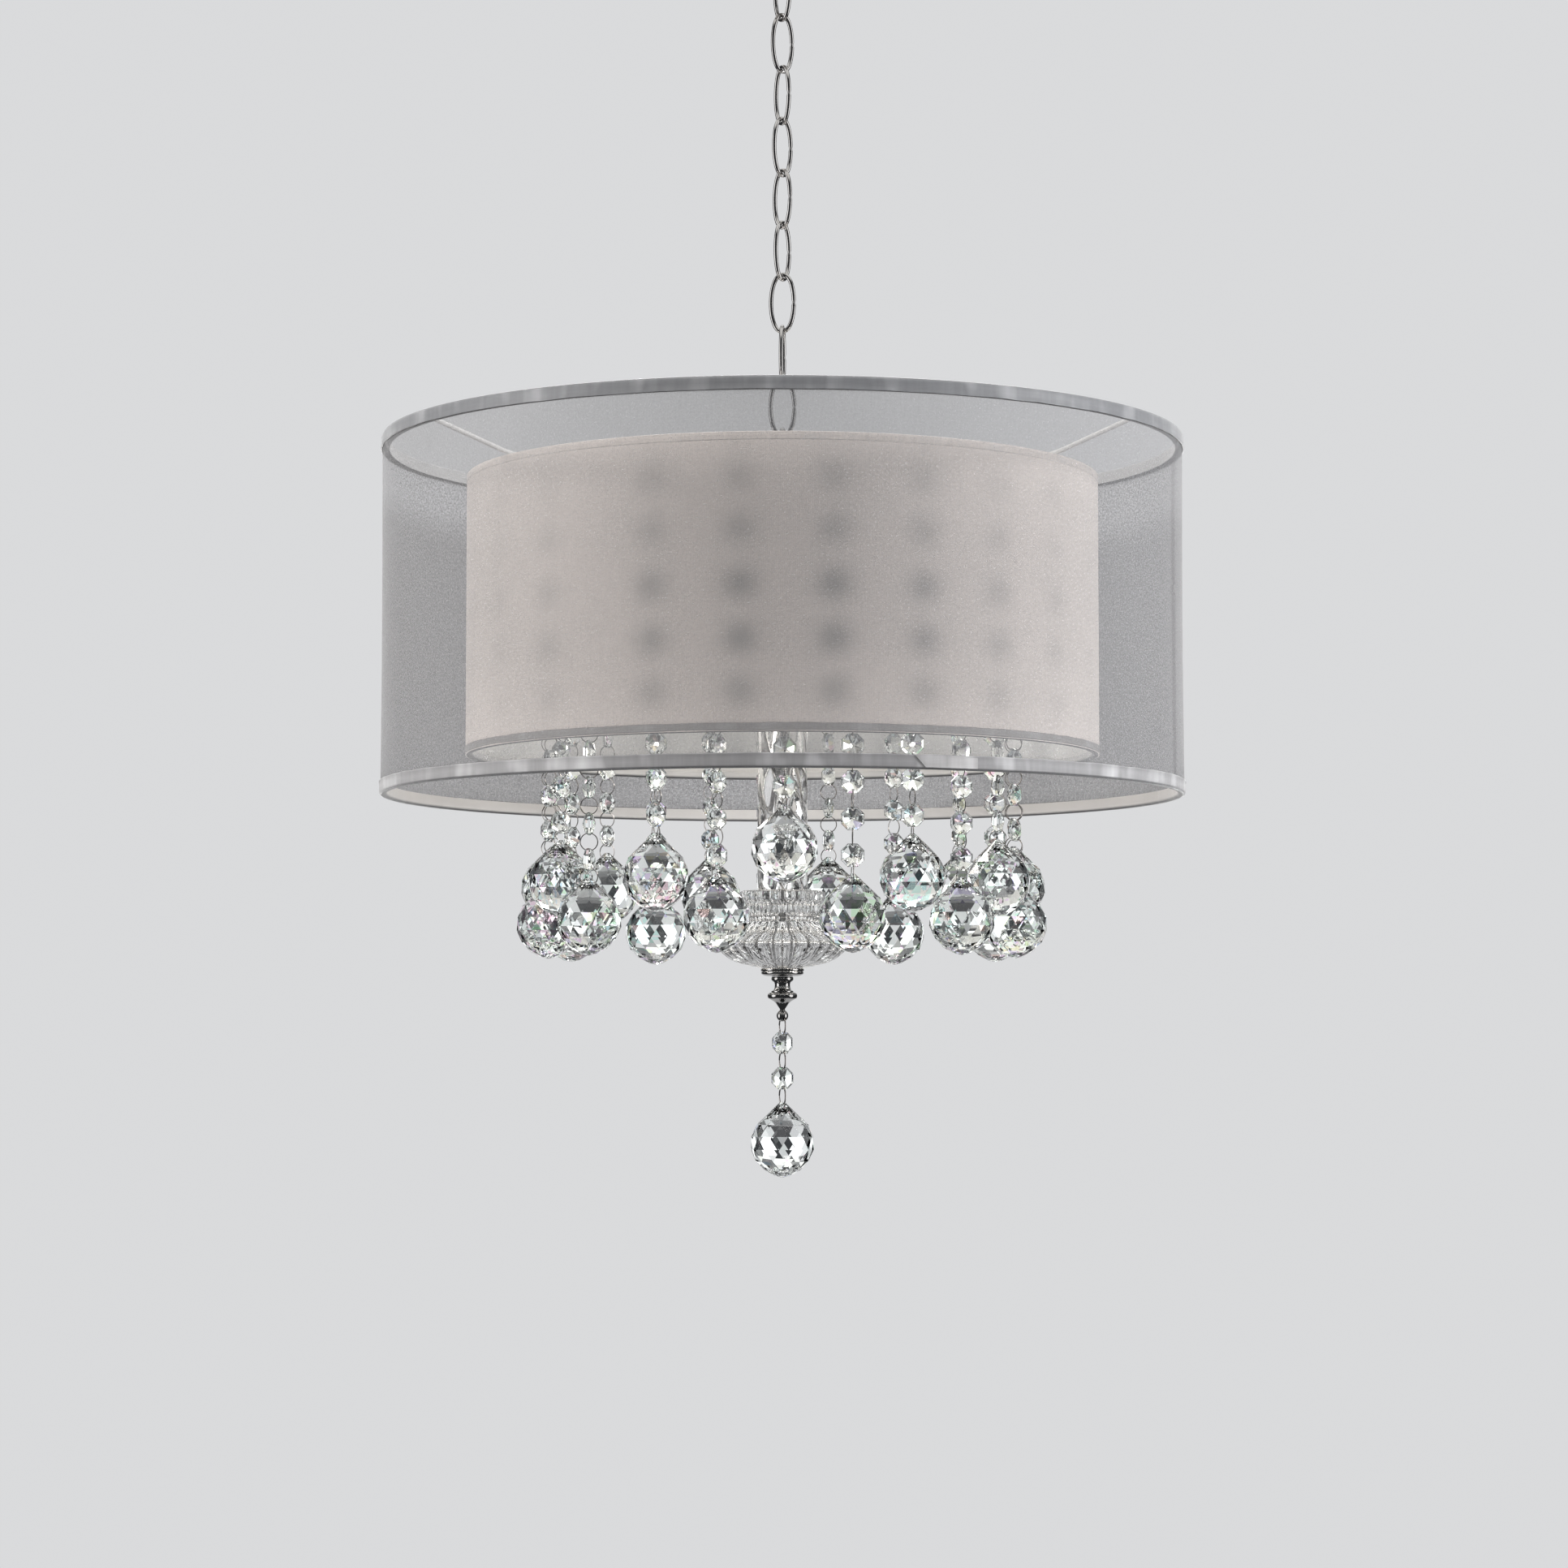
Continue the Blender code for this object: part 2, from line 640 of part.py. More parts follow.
def build_bottom_rings(pendant):
    levels = {
        "outer_shade_bottom_ring": (OUTER_SHADE_RADIUS, Heights.outer_shade_bottom),
        "inner_shade_bottom_ring": (INNER_SHADE_RADIUS, Heights.inner_shade_bottom),
    }
    for name, (radius, bottom) in levels.items():
        bm = bmesh.new()
        add_wire_ring(bm, radius, bottom + HEM_RISE)
        place(name, finished(bm, name), frame_wire(), parent=pendant)


def build_shades(pendant):
    shades = {
        "outer_shade": (OUTER_SHADE_RADIUS, Heights.outer_shade_top, Heights.outer_shade_bottom, organza()),
        "inner_shade": (INNER_SHADE_RADIUS, Heights.inner_shade_top, Heights.inner_shade_bottom, lining()),
    }
    for name, (radius, top, bottom, cloth) in shades.items():
        inside = radius - SHADE_CLOTH
        profile = [(radius, top), (radius, bottom), (inside, bottom), (inside, top)]
        turned_object(name, profile, SHADE_SEGMENTS, cloth, parent=pendant)


def build_crystal_frame(pendant):
    """Flat ring on three spokes, with a small hook under it for each strand."""
    top, bottom = Heights.crystal_plate_top, Heights.crystal_plate_bottom
    outside = STRAND_RING_RADIUS + CRYSTAL_PLATE_WIDTH / 2
    inside = STRAND_RING_RADIUS - CRYSTAL_PLATE_WIDTH / 2
    bm = bmesh.new()
    add_turned(bm, [(inside, top), (outside, top), (outside, bottom), (inside, bottom)], SHADE_SEGMENTS)
    add_hub(bm, top, bottom)
    frame = place("crystal_frame", finished(bm, "crystal_frame"), steel(), parent=pendant)
    middle = (top + bottom) / 2
    slim = CRYSTAL_PLATE_THICKNESS / 4
    spokes = bmesh.new()
    for azimuth in SPOKE_AZIMUTHS:
        low = (-SPOKE_WIDTH / 2, -STRAND_RING_RADIUS, middle - slim)
        high = (SPOKE_WIDTH / 2, -(HUB_RADIUS + ROD_RADIUS) / 2, middle + slim)
        add_box(spokes, low, high, Matrix.Rotation(math.radians(azimuth), 4, "Z"))
    combine(frame, finished(spokes, "crystal_spokes"), "UNION", "crystal_spokes")
    hooks = bmesh.new()
    for _, azimuth, yaw in STRANDS:
        spot = around(STRAND_RING_RADIUS, azimuth, Heights.strand_pivot)
        side = Vector((math.cos(math.radians(yaw)), math.sin(math.radians(yaw)), 0)) * HOOK_REACH
        root = Vector((0, 0, middle - Heights.strand_pivot))
        tip = Vector((0, 0, HOOK_TIP_HEIGHT))
        route = [spot + side + root, spot + side, spot - side, spot - side + tip]
        add_tube(hooks, route, HOOK_WIRE_RADIUS, FINE_SIDES, normal=plane_normal(yaw))
    combine(frame, finished(hooks, "crystal_hooks"), "UNION", "crystal_hooks")


def build_lamp_cluster(pendant):
    """Body on the rod with two arms, each ending in a cup that carries a socket."""
    bore = ROD_RADIUS + CLEARANCE
    edge = LAMP_BODY_EDGE
    bm = bmesh.new()
    profile = [
        (bore, Heights.lamp_body_top),
        (LAMP_BODY_RADIUS - edge, Heights.lamp_body_top),
        (LAMP_BODY_RADIUS, Heights.lamp_body_top - edge),
        (LAMP_BODY_RADIUS, Heights.lamp_body_bottom + edge),
        (LAMP_BODY_RADIUS - edge, Heights.lamp_body_bottom),
        (bore, Heights.lamp_body_bottom),
    ]
    add_turned(bm, profile, TURNED_SEGMENTS)
    cup_bottom = Heights.lamp_cup_top - LAMP_CUP_HEIGHT
    cup = [(0, Heights.lamp_cup_top), (LAMP_CUP_RADIUS, Heights.lamp_cup_top)]
    cup += [(LAMP_CUP_RADIUS, cup_bottom), (0, cup_bottom)]
    for azimuth in LAMP_AZIMUTHS:
        add_turned(bm, cup, SMALL_SEGMENTS, center=around(LAMP_CIRCLE_RADIUS, azimuth))
    cluster = place("lamp_cluster", finished(bm, "lamp_cluster"), nickel(), parent=pendant)
    arms = bmesh.new()
    for azimuth in LAMP_AZIMUTHS:
        start = around((LAMP_BODY_RADIUS + bore) / 2, azimuth, Heights.lamp_arm)
        end = around(LAMP_CIRCLE_RADIUS - LAMP_CUP_RADIUS / 2, azimuth, Heights.lamp_arm)
        add_tube(arms, [start, end], LAMP_CUP_HEIGHT / 2 - CLEARANCE, WIRE_SIDES)
    combine(cluster, finished(arms, "lamp_arms"), "UNION", "lamp_arms")


def build_lamps(pendant):
    bore = BULB_BASE_RADIUS + CLEARANCE
    floor = Heights.socket_top - SOCKET_BORE_DEPTH
    socket = [
        (0, floor),
        (bore, floor),
        (bore, Heights.socket_top),
        (SOCKET_RADIUS, Heights.socket_top),
        (SOCKET_RADIUS, Heights.socket_bottom),
        (0, Heights.socket_bottom),
    ]
    base = floor + CLEARANCE
    neck = Heights.socket_top + CLEARANCE
    tip = neck + BULB_HEIGHT
    bulb = [(0, base), (BULB_BASE_RADIUS, base), (BULB_BASE_RADIUS, neck)]
    outline_shares = ((0.60, 0.02), (0.86, 0.20), (1.00, 0.40), (0.92, 0.60), (0.58, 0.82), (0.22, 0.97))
    bulb += [(BULB_RADIUS * wide, neck + BULB_HEIGHT * high) for wide, high in outline_shares]
    bulb.append((0, tip))
    for number, azimuth in enumerate(LAMP_AZIMUTHS, 1):
        spot = around(LAMP_CIRCLE_RADIUS, azimuth)
        turned_object(f"socket_{number}", socket, SMALL_SEGMENTS, socket_plastic(), spot, pendant)
        turned_object(f"bulb_{number}", bulb, SMALL_SEGMENTS, bulb_glass(), spot, pendant)


def build_column(pendant):
    """Clear glass tube with twisted flutes, between the lamp body and the crown."""
    levels = 6
    heights = [Heights.column_top - COLUMN_LENGTH * step / levels for step in range(levels + 1)]
    profile = [(COLUMN_RADIUS, height) for height in heights]
    profile += [(COLUMN_BORE_RADIUS, height) for height in reversed(heights)]
    turned_object(
        "glass_column",
        profile,
        SMALL_SEGMENTS,
        pressed_glass(),
        parent=pendant,
        flute=COLUMN_FLUTE_DEPTH,
        flute_from=(COLUMN_RADIUS + COLUMN_BORE_RADIUS) / 2,
        twist=COLUMN_TWIST,
    )


def build_crown(pendant):
    """Scalloped glass cup under the column."""
    bore = ROD_LOWER_RADIUS + CLEARANCE
    top, bottom = Heights.crown_top, Heights.crown_bottom
    rim_bottom = top - CROWN_RIM_HEIGHT
    step = CROWN_RIM_RADIUS - CROWN_BAND_RADIUS
    profile = [
        (bore, top),
        (CROWN_RIM_RADIUS, top),
        (CROWN_RIM_RADIUS, rim_bottom),
        (CROWN_BAND_RADIUS, rim_bottom - step / 2),
        (CROWN_BAND_RADIUS, bottom),
        (bore, bottom),
    ]
    middle = (CROWN_BAND_RADIUS + CROWN_RIM_RADIUS) / 2
    flutes = {"flute": CROWN_SCALLOP_DEPTH, "flute_from": middle}
    turned_object("glass_crown", profile, TURNED_SEGMENTS, pressed_glass(), parent=pendant, **flutes)


def build_bowl(pendant):
    """Ribbed glass bowl that flares from the crown and closes in on the base cap."""
    bore = ROD_LOWER_RADIUS + CLEARANCE
    side_shares = ((0.36, 0.22), (1.0, 0.46), (0.86, 0.68), (0.55, 0.87))
    top, height = Heights.bowl_top, BOWL_HEIGHT
    outer = [(BOWL_NECK_RADIUS, top)]
    for wide, down in side_shares:
        start = BOWL_NECK_RADIUS if down < side_shares[1][1] else BOWL_BASE_RADIUS
        outer.append((start + (BOWL_RADIUS - start) * wide, top - height * down))
    outer.append((BOWL_BASE_RADIUS, Heights.bowl_bottom))
    inner = [(BOWL_NECK_RADIUS - BOWL_WALL, top)]
    for radius, level in outer[1:-1]:
        inner.append((radius - BOWL_WALL, level + BOWL_WALL * (top - level) / height / 2))
    inner.append((BOWL_BASE_RADIUS - BOWL_WALL, Heights.bowl_bottom + BOWL_WALL))
    floor = [(bore, Heights.bowl_bottom), (bore, Heights.bowl_bottom + BOWL_WALL)]
    turned_object(
        "glass_bowl",
        outer + floor + inner[::-1],
        2 * BOWL_RIBS,
        pressed_glass(),
        parent=pendant,
        flute=BOWL_RIB_DEPTH,
        flute_from=BOWL_BASE_RADIUS,
    )


def build_base_cap(pendant):
    bore = ROD_LOWER_RADIUS + CLEARANCE
    top, bottom = Heights.base_cap_top, Heights.base_cap_bottom
    edge = BASE_CAP_HEIGHT / 4
    profile = [
        (bore, top),
        (BASE_CAP_RADIUS, top),
        (BASE_CAP_RADIUS, bottom + edge),
        (BASE_CAP_RADIUS - edge, bottom),
        (bore, bottom),
    ]
    turned_object("base_cap", profile, TURNED_SEGMENTS, nickel(), parent=pendant)


def build_finial(pendant):
    """Turned finial that ends in a small ball, drilled for the drop's first ring."""
    top, height = Heights.finial_top, FINIAL_HEIGHT
    body = (
        (FINIAL_SPOOL_RADIUS, 0.0),
        (FINIAL_SPOOL_RADIUS, 0.08),
        (FINIAL_WAIST_RADIUS, 0.17),
        ((FINIAL_WAIST_RADIUS + FINIAL_SPOOL_RADIUS) / 2, 0.30),
        (FINIAL_SPOOL_RADIUS, 0.33),
        (FINIAL_DISC_RADIUS, 0.38),
        (FINIAL_DISC_RADIUS, 0.48),
        (FINIAL_SPOOL_RADIUS / 2, 0.62),
    )
    profile = [(0, top)] + [(radius, top - height * share) for radius, share in body]
    start = math.asin(FINIAL_TIP_RADIUS / FINIAL_EYE_RADIUS)
    steps = 4
    for step in range(steps):
        angle = start + (math.pi - start) * step / steps
        radius = FINIAL_EYE_RADIUS * math.sin(angle)
        profile.append((radius, Heights.finial_eye + FINIAL_EYE_RADIUS * math.cos(angle)))
    profile.append((0, Heights.finial_bottom))
    finial = turned_object("finial", profile, SMALL_SEGMENTS, nickel(), parent=pendant)
    drill = bmesh.new()
    yaw = DROP_YAW + 90
    half_height = DROP_RING_HEIGHT - DROP_WIRE_RADIUS
    center = (0, 0, Heights.finial_eye - half_height)
    route = oval(DROP_RING_WIDTH - DROP_WIRE_RADIUS, half_height, TURNED_SEGMENTS, center, yaw)
    add_tube(drill, route, FINIAL_EYE_HOLE_RADIUS, WIRE_SIDES, closed=True, normal=plane_normal(yaw))
    combine(finial, finished(drill, "finial_eye_hole"), "DIFFERENCE", "finial_eye_hole")


def bead_edge(center, up):
    """The flat top or bottom edge of a bead and the two points on its facets where a wire leaves it."""
    half = BEAD_ACROSS / 2
    corner = half * math.tan(math.pi / 8)
    sign = 1 if up else -1
    inset = BEAD_HOLE_INSET / half
    level = center + sign * half
    facet = center + sign * (half - BEAD_HOLE_INSET)
    depth = BEAD_THICKNESS / 2 * inset
    return [(-corner, 0, level), (0, -depth, facet), (corner, 0, level), (0, depth, facet)]


def add_bead(bm, center, upper, lower):
    """An octagon bead with a point on each face. upper and lower are its edge points, already made."""
    radius = BEAD_ACROSS / 2 / math.cos(math.pi / 8)
    sides = []
    for start in (-1, 3, 7, 11):
        pair = []
        for corner in (start, start + 2):
            angle = math.pi * corner / 8
            pair.append((radius * math.cos(angle), 0, center + radius * math.sin(angle)))
        sides.append(pair)
    right = [bm.verts.new(spot) for spot in sides[0]]
    left = [bm.verts.new(spot) for spot in sides[2]]
    rim = [right[0], right[1], upper[2], upper[0], left[0], left[1], lower[0], lower[2]]
    for face_side, index in ((-1, 1), (1, 3)):
        point = bm.verts.new((0, face_side * BEAD_THICKNESS / 2, center))
        for corner in range(len(rim)):
            first, second = rim[corner], rim[(corner + 1) % len(rim)]
            if {first, second} == {upper[0], upper[2]}:
                ends = (first, upper[index]), (upper[index], second)
            elif {first, second} == {lower[0], lower[2]}:
                ends = (first, lower[index]), (lower[index], second)
            else:
                ends = ((first, second),)
            for one, other in ends:
                bm.faces.new((point, one, other))


def add_prism(bm, first, second):
    """The side faces between two rows of matching corners."""
    count = len(first)
    for index in range(count):
        after = (index + 1) % count
        bm.faces.new((first[index], first[after], second[after], second[index]))


def add_ring_sides(bm, upper, lower, middle_height):
    """A wire ring from one bead to the next: a bar in front and one behind, open between them."""
    for sign, index in ((-1, 1), (1, 3)):
        outer = sign * WIRE_RING_RADIUS
        inner = sign * (WIRE_RING_RADIUS - 2 * WIRE_RADIUS)
        spots = [(-WIRE_RADIUS, inner), (0, outer), (WIRE_RADIUS, inner)]
        middle = [bm.verts.new((x, y, middle_height)) for x, y in spots]
        add_prism(bm, [upper[0], upper[index], upper[2]], middle)
        add_prism(bm, middle, [lower[0], lower[index], lower[2]])


def add_ball(bm, center, top):
    """A faceted ball under its top edge points, with rows of corners that alternate."""
    corners = 8
    row_shares = ((0.50, 0.68), (0.92, 0.30), (0.97, -0.22), (0.56, -0.82))
    rows = []
    for number, (wide, high) in enumerate(row_shares):
        reach = BALL_TOP if high > 0 else BALL_BOTTOM
        row = []
        for corner in range(corners):
            angle = 2 * math.pi * (corner + number / 2) / corners
            spot = (BALL_RADIUS * wide * math.cos(angle), BALL_RADIUS * wide * math.sin(angle))
            row.append(bm.verts.new((*spot, center + reach * high)))
        rows.append(row)
    for first, second in zip(rows, rows[1:]):
        for corner in range(corners):
            after = (corner + 1) % corners
            bm.faces.new((first[corner], second[corner], first[after]))
            bm.faces.new((first[after], second[corner], second[after]))
    tip = bm.verts.new((0, 0, center - BALL_BOTTOM))
    for corner in range(corners):
        bm.faces.new((rows[-1][corner], tip, rows[-1][(corner + 1) % corners]))
    turned = [top[2], top[3], top[0], top[1]]
    for quarter in range(4):
        first, second = turned[quarter], turned[(quarter + 1) % 4]
        low = [rows[0][(2 * quarter + step) % corners] for step in range(3)]
        bm.faces.new((first, low[0], low[1]))
        bm.faces.new((first, low[1], second))
        bm.faces.new((second, low[1], low[2]))


def strand_mesh(kind):
    """One hanging strand below its pivot: wire ring, beads on wire rings, and the ball."""
    ball_drop = {"long": LONG_BALL_DROP, "short": SHORT_BALL_DROP, "front": FRONT_BALL_DROP}[kind]
    count = {"long": LONG_BEADS, "short": SHORT_BEADS, "front": FRONT_BEADS}[kind]
    bm = bmesh.new()
    contact = HOOK_WIRE_RADIUS + CLEARANCE
    ring_center = contact + 2 * WIRE_RADIUS - WIRE_RING_RADIUS
    first_bead = ring_center - BEAD_PITCH / 2
    last_bead = BALL_TOP + BEAD_PITCH / 2 - ball_drop
    pitch = (first_bead - last_bead) / (count - 1)
    thick = 2 * WIRE_RADIUS
    cap = [(-WIRE_RADIUS, 0, contact), (0, -thick, contact + thick)]
    cap += [(WIRE_RADIUS, 0, contact), (0, thick, contact + thick)]
    upper = [bm.verts.new(spot) for spot in cap]
    bm.faces.new((upper[0], upper[3], upper[1]))
    bm.faces.new((upper[1], upper[3], upper[2]))
    for number in range(count):
        center = first_bead - pitch * number
        bead_top = [bm.verts.new(spot) for spot in bead_edge(center, True)]
        bead_bottom = [bm.verts.new(spot) for spot in bead_edge(center, False)]
        if number == 0 or number >= count - OPEN_RINGS:
            add_ring_sides(bm, upper, bead_top, ring_center if number == 0 else center + pitch / 2)
        else:
            add_prism(bm, upper, bead_top)
        add_bead(bm, center, bead_top, bead_bottom)
        upper = bead_bottom
    neck = BALL_NECK / 2
    top_edge = BALL_TOP - ball_drop
    neck_spots = [(-neck, 0, top_edge), (0, -neck, top_edge - neck)]
    neck_spots += [(neck, 0, top_edge), (0, neck, top_edge - neck)]
    ball_top = [bm.verts.new(spot) for spot in neck_spots]
    add_ring_sides(bm, upper, ball_top, (last_bead - BEAD_ACROSS / 2 + top_edge) / 2)
    add_ball(bm, -ball_drop, ball_top)
    return finished(bm, f"{kind}_strand")


def build_strands(pendant):
    meshes = {kind: strand_mesh(kind) for kind in ("long", "short", "front")}
    for mesh in meshes.values():
        mesh.materials.append(crystal())
    for number, (kind, azimuth, yaw) in enumerate(STRANDS, 1):
        location = around(STRAND_RING_RADIUS, azimuth, Heights.strand_pivot)
        place(f"crystal_strand_{number:02d}", meshes[kind], None, location, yaw, pendant)


def drilled_bead(name, height, parent):
    """A loose octagon bead of the drop, with a hole near its top and bottom edges."""
    bm = bmesh.new()
    radius = BEAD_ACROSS / 2 / math.cos(math.pi / 8)
    points = []
    for corner in range(8):
        angle = math.pi * (2 * corner + 1) / 8
        points.append(bm.verts.new((radius * math.cos(angle), 0, radius * math.sin(angle))))
    for side in (-1, 1):
        tip = bm.verts.new((0, side * BEAD_THICKNESS / 2, 0))
        for corner in range(8):
            bm.faces.new((tip, points[corner], points[(corner + 1) % 8]))
    bead = place(name, finished(bm, name), crystal(), (0, 0, height), DROP_YAW, parent)
    drill = bmesh.new()
    reach = BEAD_ACROSS / 2 - BEAD_HOLE_INSET - BEAD_HOLE_RADIUS / 2
    for side in (-1, 1):
        ends = [(0, end * BEAD_THICKNESS, side * reach) for end in (-1, 1)]
        add_tube(drill, ends, BEAD_HOLE_RADIUS, WIRE_SIDES)
    bpy.context.view_layer.update()
    combine(bead, finished(drill, f"{name}_holes"), "DIFFERENCE", f"{name}_holes")
    return bead


def drop_ring(name, pivot, center, half_width, half_height, parent):
    """One wire ring of the drop, upright and square to its beads. pivot is the object's origin height."""
    bm = bmesh.new()
    yaw = DROP_YAW + 90
    points = oval(half_width, half_height, SMALL_SEGMENTS, (0, 0, center - pivot), yaw)
    add_tube(bm, points, DROP_WIRE_RADIUS, FINE_SIDES, closed=True, normal=plane_normal(yaw))
    return place(name, finished(bm, name), nickel(), (0, 0, pivot), 0.0, parent)


def build_drop(pendant):
    """Ring, bead, ring, bead, ring and ball, hung one from the other under the finial."""
    hole = BEAD_ACROSS / 2 - BEAD_HOLE_INSET - BEAD_HOLE_RADIUS / 2
    rest = BEAD_HOLE_RADIUS - CLEARANCE - DROP_WIRE_RADIUS
    pivot = Heights.drop_ring_top_wire
    half_height = DROP_RING_HEIGHT - DROP_WIRE_RADIUS
    half_width = DROP_RING_WIDTH - DROP_WIRE_RADIUS
    ring = drop_ring("drop_ring_1", pivot, Heights.drop_ring_1, half_width, half_height, pendant)
    ring_bottom = Heights.drop_ring_1 - half_height
    bead = ring_bottom - rest - hole
    small = DROP_PITCH / 2 - hole - rest
    for number in (1, 2):
        drilled_bead(f"drop_bead_{number}", bead, ring)
        ring_top = bead - hole - rest
        ring_center = ring_top - small
        if number == 1:
            drop_ring("drop_ring_2", ring_center, ring_center, half_width, small, ring)
            bead = ring_center - small - rest - hole
    ring_3 = drop_ring("drop_ring_3", ring_top, ring_center, half_width, small, ring)
    build_drop_ball(ring_center, half_width, small, ring_3)


def build_drop_ball(ring_center, half_width, half_height, parent):
    """The large ball at the bottom, with a curved hole through its pointed top for the last ring."""
    hole_level = ring_center - half_height
    neck = BALL_NECK / 2
    center = hole_level + BEAD_HOLE_RADIUS + neck - BALL_TOP
    bm = bmesh.new()
    top_edge = BALL_TOP
    neck_spots = [(-neck, 0, top_edge), (0, -neck, top_edge), (neck, 0, top_edge), (0, neck, top_edge)]
    top = [bm.verts.new(spot) for spot in neck_spots]
    bm.faces.new(top)
    add_ball(bm, 0, top)
    ball = place("drop_ball", finished(bm, "drop_ball"), crystal(), (0, 0, center), DROP_YAW, parent)
    drill = bmesh.new()
    route = oval(half_width, half_height, TURNED_SEGMENTS, (0, 0, ring_center - center), 90)
    add_tube(drill, route, BEAD_HOLE_RADIUS, WIRE_SIDES, closed=True, normal=plane_normal(90))
    bpy.context.view_layer.update()
    combine(ball, finished(drill, "drop_ball_hole"), "DIFFERENCE", "drop_ball_hole")


def main():
    for thing in list(bpy.data.objects):
        bpy.data.objects.remove(thing)
    root = empty("ceiling_mount", (0, 0, 0))
    build_crossbar(root)
    build_canopy(root)
    build_canopy_loop(root)
    build_cord_bushing(root)
    last_link = build_chain(root)
    pendant = build_fixture_loop(last_link)
    build_stem_rod(pendant)
    build_outer_shade_frame(pendant)
    build_inner_shade_frame(pendant)
    build_bottom_rings(pendant)
    build_shades(pendant)
    build_crystal_frame(pendant)
    build_lamp_cluster(pendant)
    build_lamps(pendant)
    build_column(pendant)
    build_crown(pendant)
    build_bowl(pendant)
    build_base_cap(pendant)
    build_finial(pendant)
    build_strands(pendant)
    build_drop(pendant)


if __name__ == "__main__":
    main()
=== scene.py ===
"""Crystal ceiling light with two drum shades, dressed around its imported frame.

Metres, +Z up. The origin is the centre of the ceiling face, and the viewer looks along +Y.
"""

from __future__ import annotations

import json
import logging
import random
from dataclasses import dataclass, field
from enum import Enum
from math import asin, atan2, copysign, cos, degrees, exp, pi, radians, sin
from typing import Callable, Iterable, Sequence

import bmesh
import bpy
from mathutils import Matrix, Vector, noise

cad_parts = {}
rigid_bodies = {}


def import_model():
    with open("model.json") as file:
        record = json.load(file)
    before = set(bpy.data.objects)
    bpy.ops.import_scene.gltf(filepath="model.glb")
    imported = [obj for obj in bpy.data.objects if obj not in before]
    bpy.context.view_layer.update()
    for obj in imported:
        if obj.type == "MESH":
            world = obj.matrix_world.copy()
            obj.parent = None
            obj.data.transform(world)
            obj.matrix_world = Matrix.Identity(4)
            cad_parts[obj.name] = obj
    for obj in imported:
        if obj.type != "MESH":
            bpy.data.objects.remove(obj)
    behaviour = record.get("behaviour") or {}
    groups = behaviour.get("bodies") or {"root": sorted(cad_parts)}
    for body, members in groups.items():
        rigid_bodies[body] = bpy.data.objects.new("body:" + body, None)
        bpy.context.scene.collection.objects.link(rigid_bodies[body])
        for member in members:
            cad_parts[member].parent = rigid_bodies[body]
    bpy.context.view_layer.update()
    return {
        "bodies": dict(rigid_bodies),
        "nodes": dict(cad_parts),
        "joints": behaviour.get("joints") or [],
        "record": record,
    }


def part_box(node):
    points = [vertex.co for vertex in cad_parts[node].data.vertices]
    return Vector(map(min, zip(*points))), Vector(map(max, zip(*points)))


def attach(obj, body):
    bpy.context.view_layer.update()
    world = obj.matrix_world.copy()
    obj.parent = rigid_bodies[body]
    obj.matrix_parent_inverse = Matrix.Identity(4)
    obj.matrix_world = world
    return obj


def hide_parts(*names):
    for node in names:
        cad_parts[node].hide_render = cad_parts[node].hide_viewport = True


LOG = logging.getLogger("ceiling_light")
FULL_TURN = 2 * pi
MM = 0.001
SEED = 7102
STRAND_CIRCLE = 148.0 * MM
RING_REACH = 5.35 * MM

Triple = tuple[float, float, float]
Color = Triple
Profile = Sequence[tuple[float, float]]
Ripple = Callable[[float, float], float]
Piece = bpy.types.Object
Socket = bpy.types.NodeSocket
Sockets = bpy.types.bpy_prop_collection


class Body(str, Enum):
    """The moving bodies that every piece rides on, apart from the links and the strands."""

    CEILING = "ceiling"
    LIGHT = "light"
    DROP = "drop"
    DROP_BALL = "drop_ball"


class Slot(str, Enum):
    """The record's material slots."""

    NICKEL = "nickel"
    FRAME_WIRE = "frame_wire"
    STEEL = "steel"
    CRYSTAL = "crystal"
    PRESSED_GLASS = "pressed_glass"
    ORGANZA = "organza"
    LINING = "lining"
    SOCKET_PLASTIC = "socket_plastic"
    BULB_GLASS = "bulb_glass"
    BUSHING_NYLON = "bushing_nylon"


class StrandKind(Enum):
    """The three lengths of crystal strand: the drop of the ball's centre in mm, and the count of beads."""

    LONG = (272.5, 11)
    SHORT = (247.5, 10)
    FRONT = (231.5, 9)


def around(radius: float, azimuth: float, height: float = 0.0) -> Vector:
    """Finds a point by its azimuth about the axis, in degrees from the front, positive to the right."""
    angle = radians(azimuth)
    return Vector((radius * sin(angle), -radius * cos(angle), height))


def spun(reach: float, angle: float, height: float = 0.0) -> Vector:
    """Finds a point of a turned form, by its angle in radians."""
    return Vector((reach * cos(angle), reach * sin(angle), height))


def facing(yaw: float) -> Vector:
    """Gives the level direction that lies across the view at a yaw of 0."""
    return spun(1.0, radians(yaw))


def turns(count: int) -> list[float]:
    """Gives the angles that divide a full turn."""
    return [FULL_TURN * step / count for step in range(count)]


def raised(height: float) -> Vector:
    """Gives the point of the axis at a level."""
    return Vector((0, 0, height))


def offsets(radius: float, level: float, *steps: tuple[float, float]) -> Profile:
    """Gives points of a turned profile by what each adds, in mm, to one of its corners."""
    return [(radius + out * MM, level + up * MM) for out, up in steps]


def oval_path(width: float, height: float, count: int, center: Vector, yaw: float) -> list[Vector]:
    """Gives the points of an upright oval, by half its width and height and the turn of its plane."""
    across = facing(yaw)
    return [center + across * (width * cos(angle)) + raised(height * sin(angle)) for angle in turns(count)]


def narrowed(share: float) -> float:
    """Gives the share of a wire's thickness at its ends and between them."""
    return 0.8 if share in (0.0, 1.0) else 1.0


def linked(name: str, data: bpy.types.ID) -> Piece:
    """Makes an object of its data and puts it in the scene."""
    made = bpy.data.objects.new(name, data)
    bpy.context.scene.collection.objects.link(made)
    return made


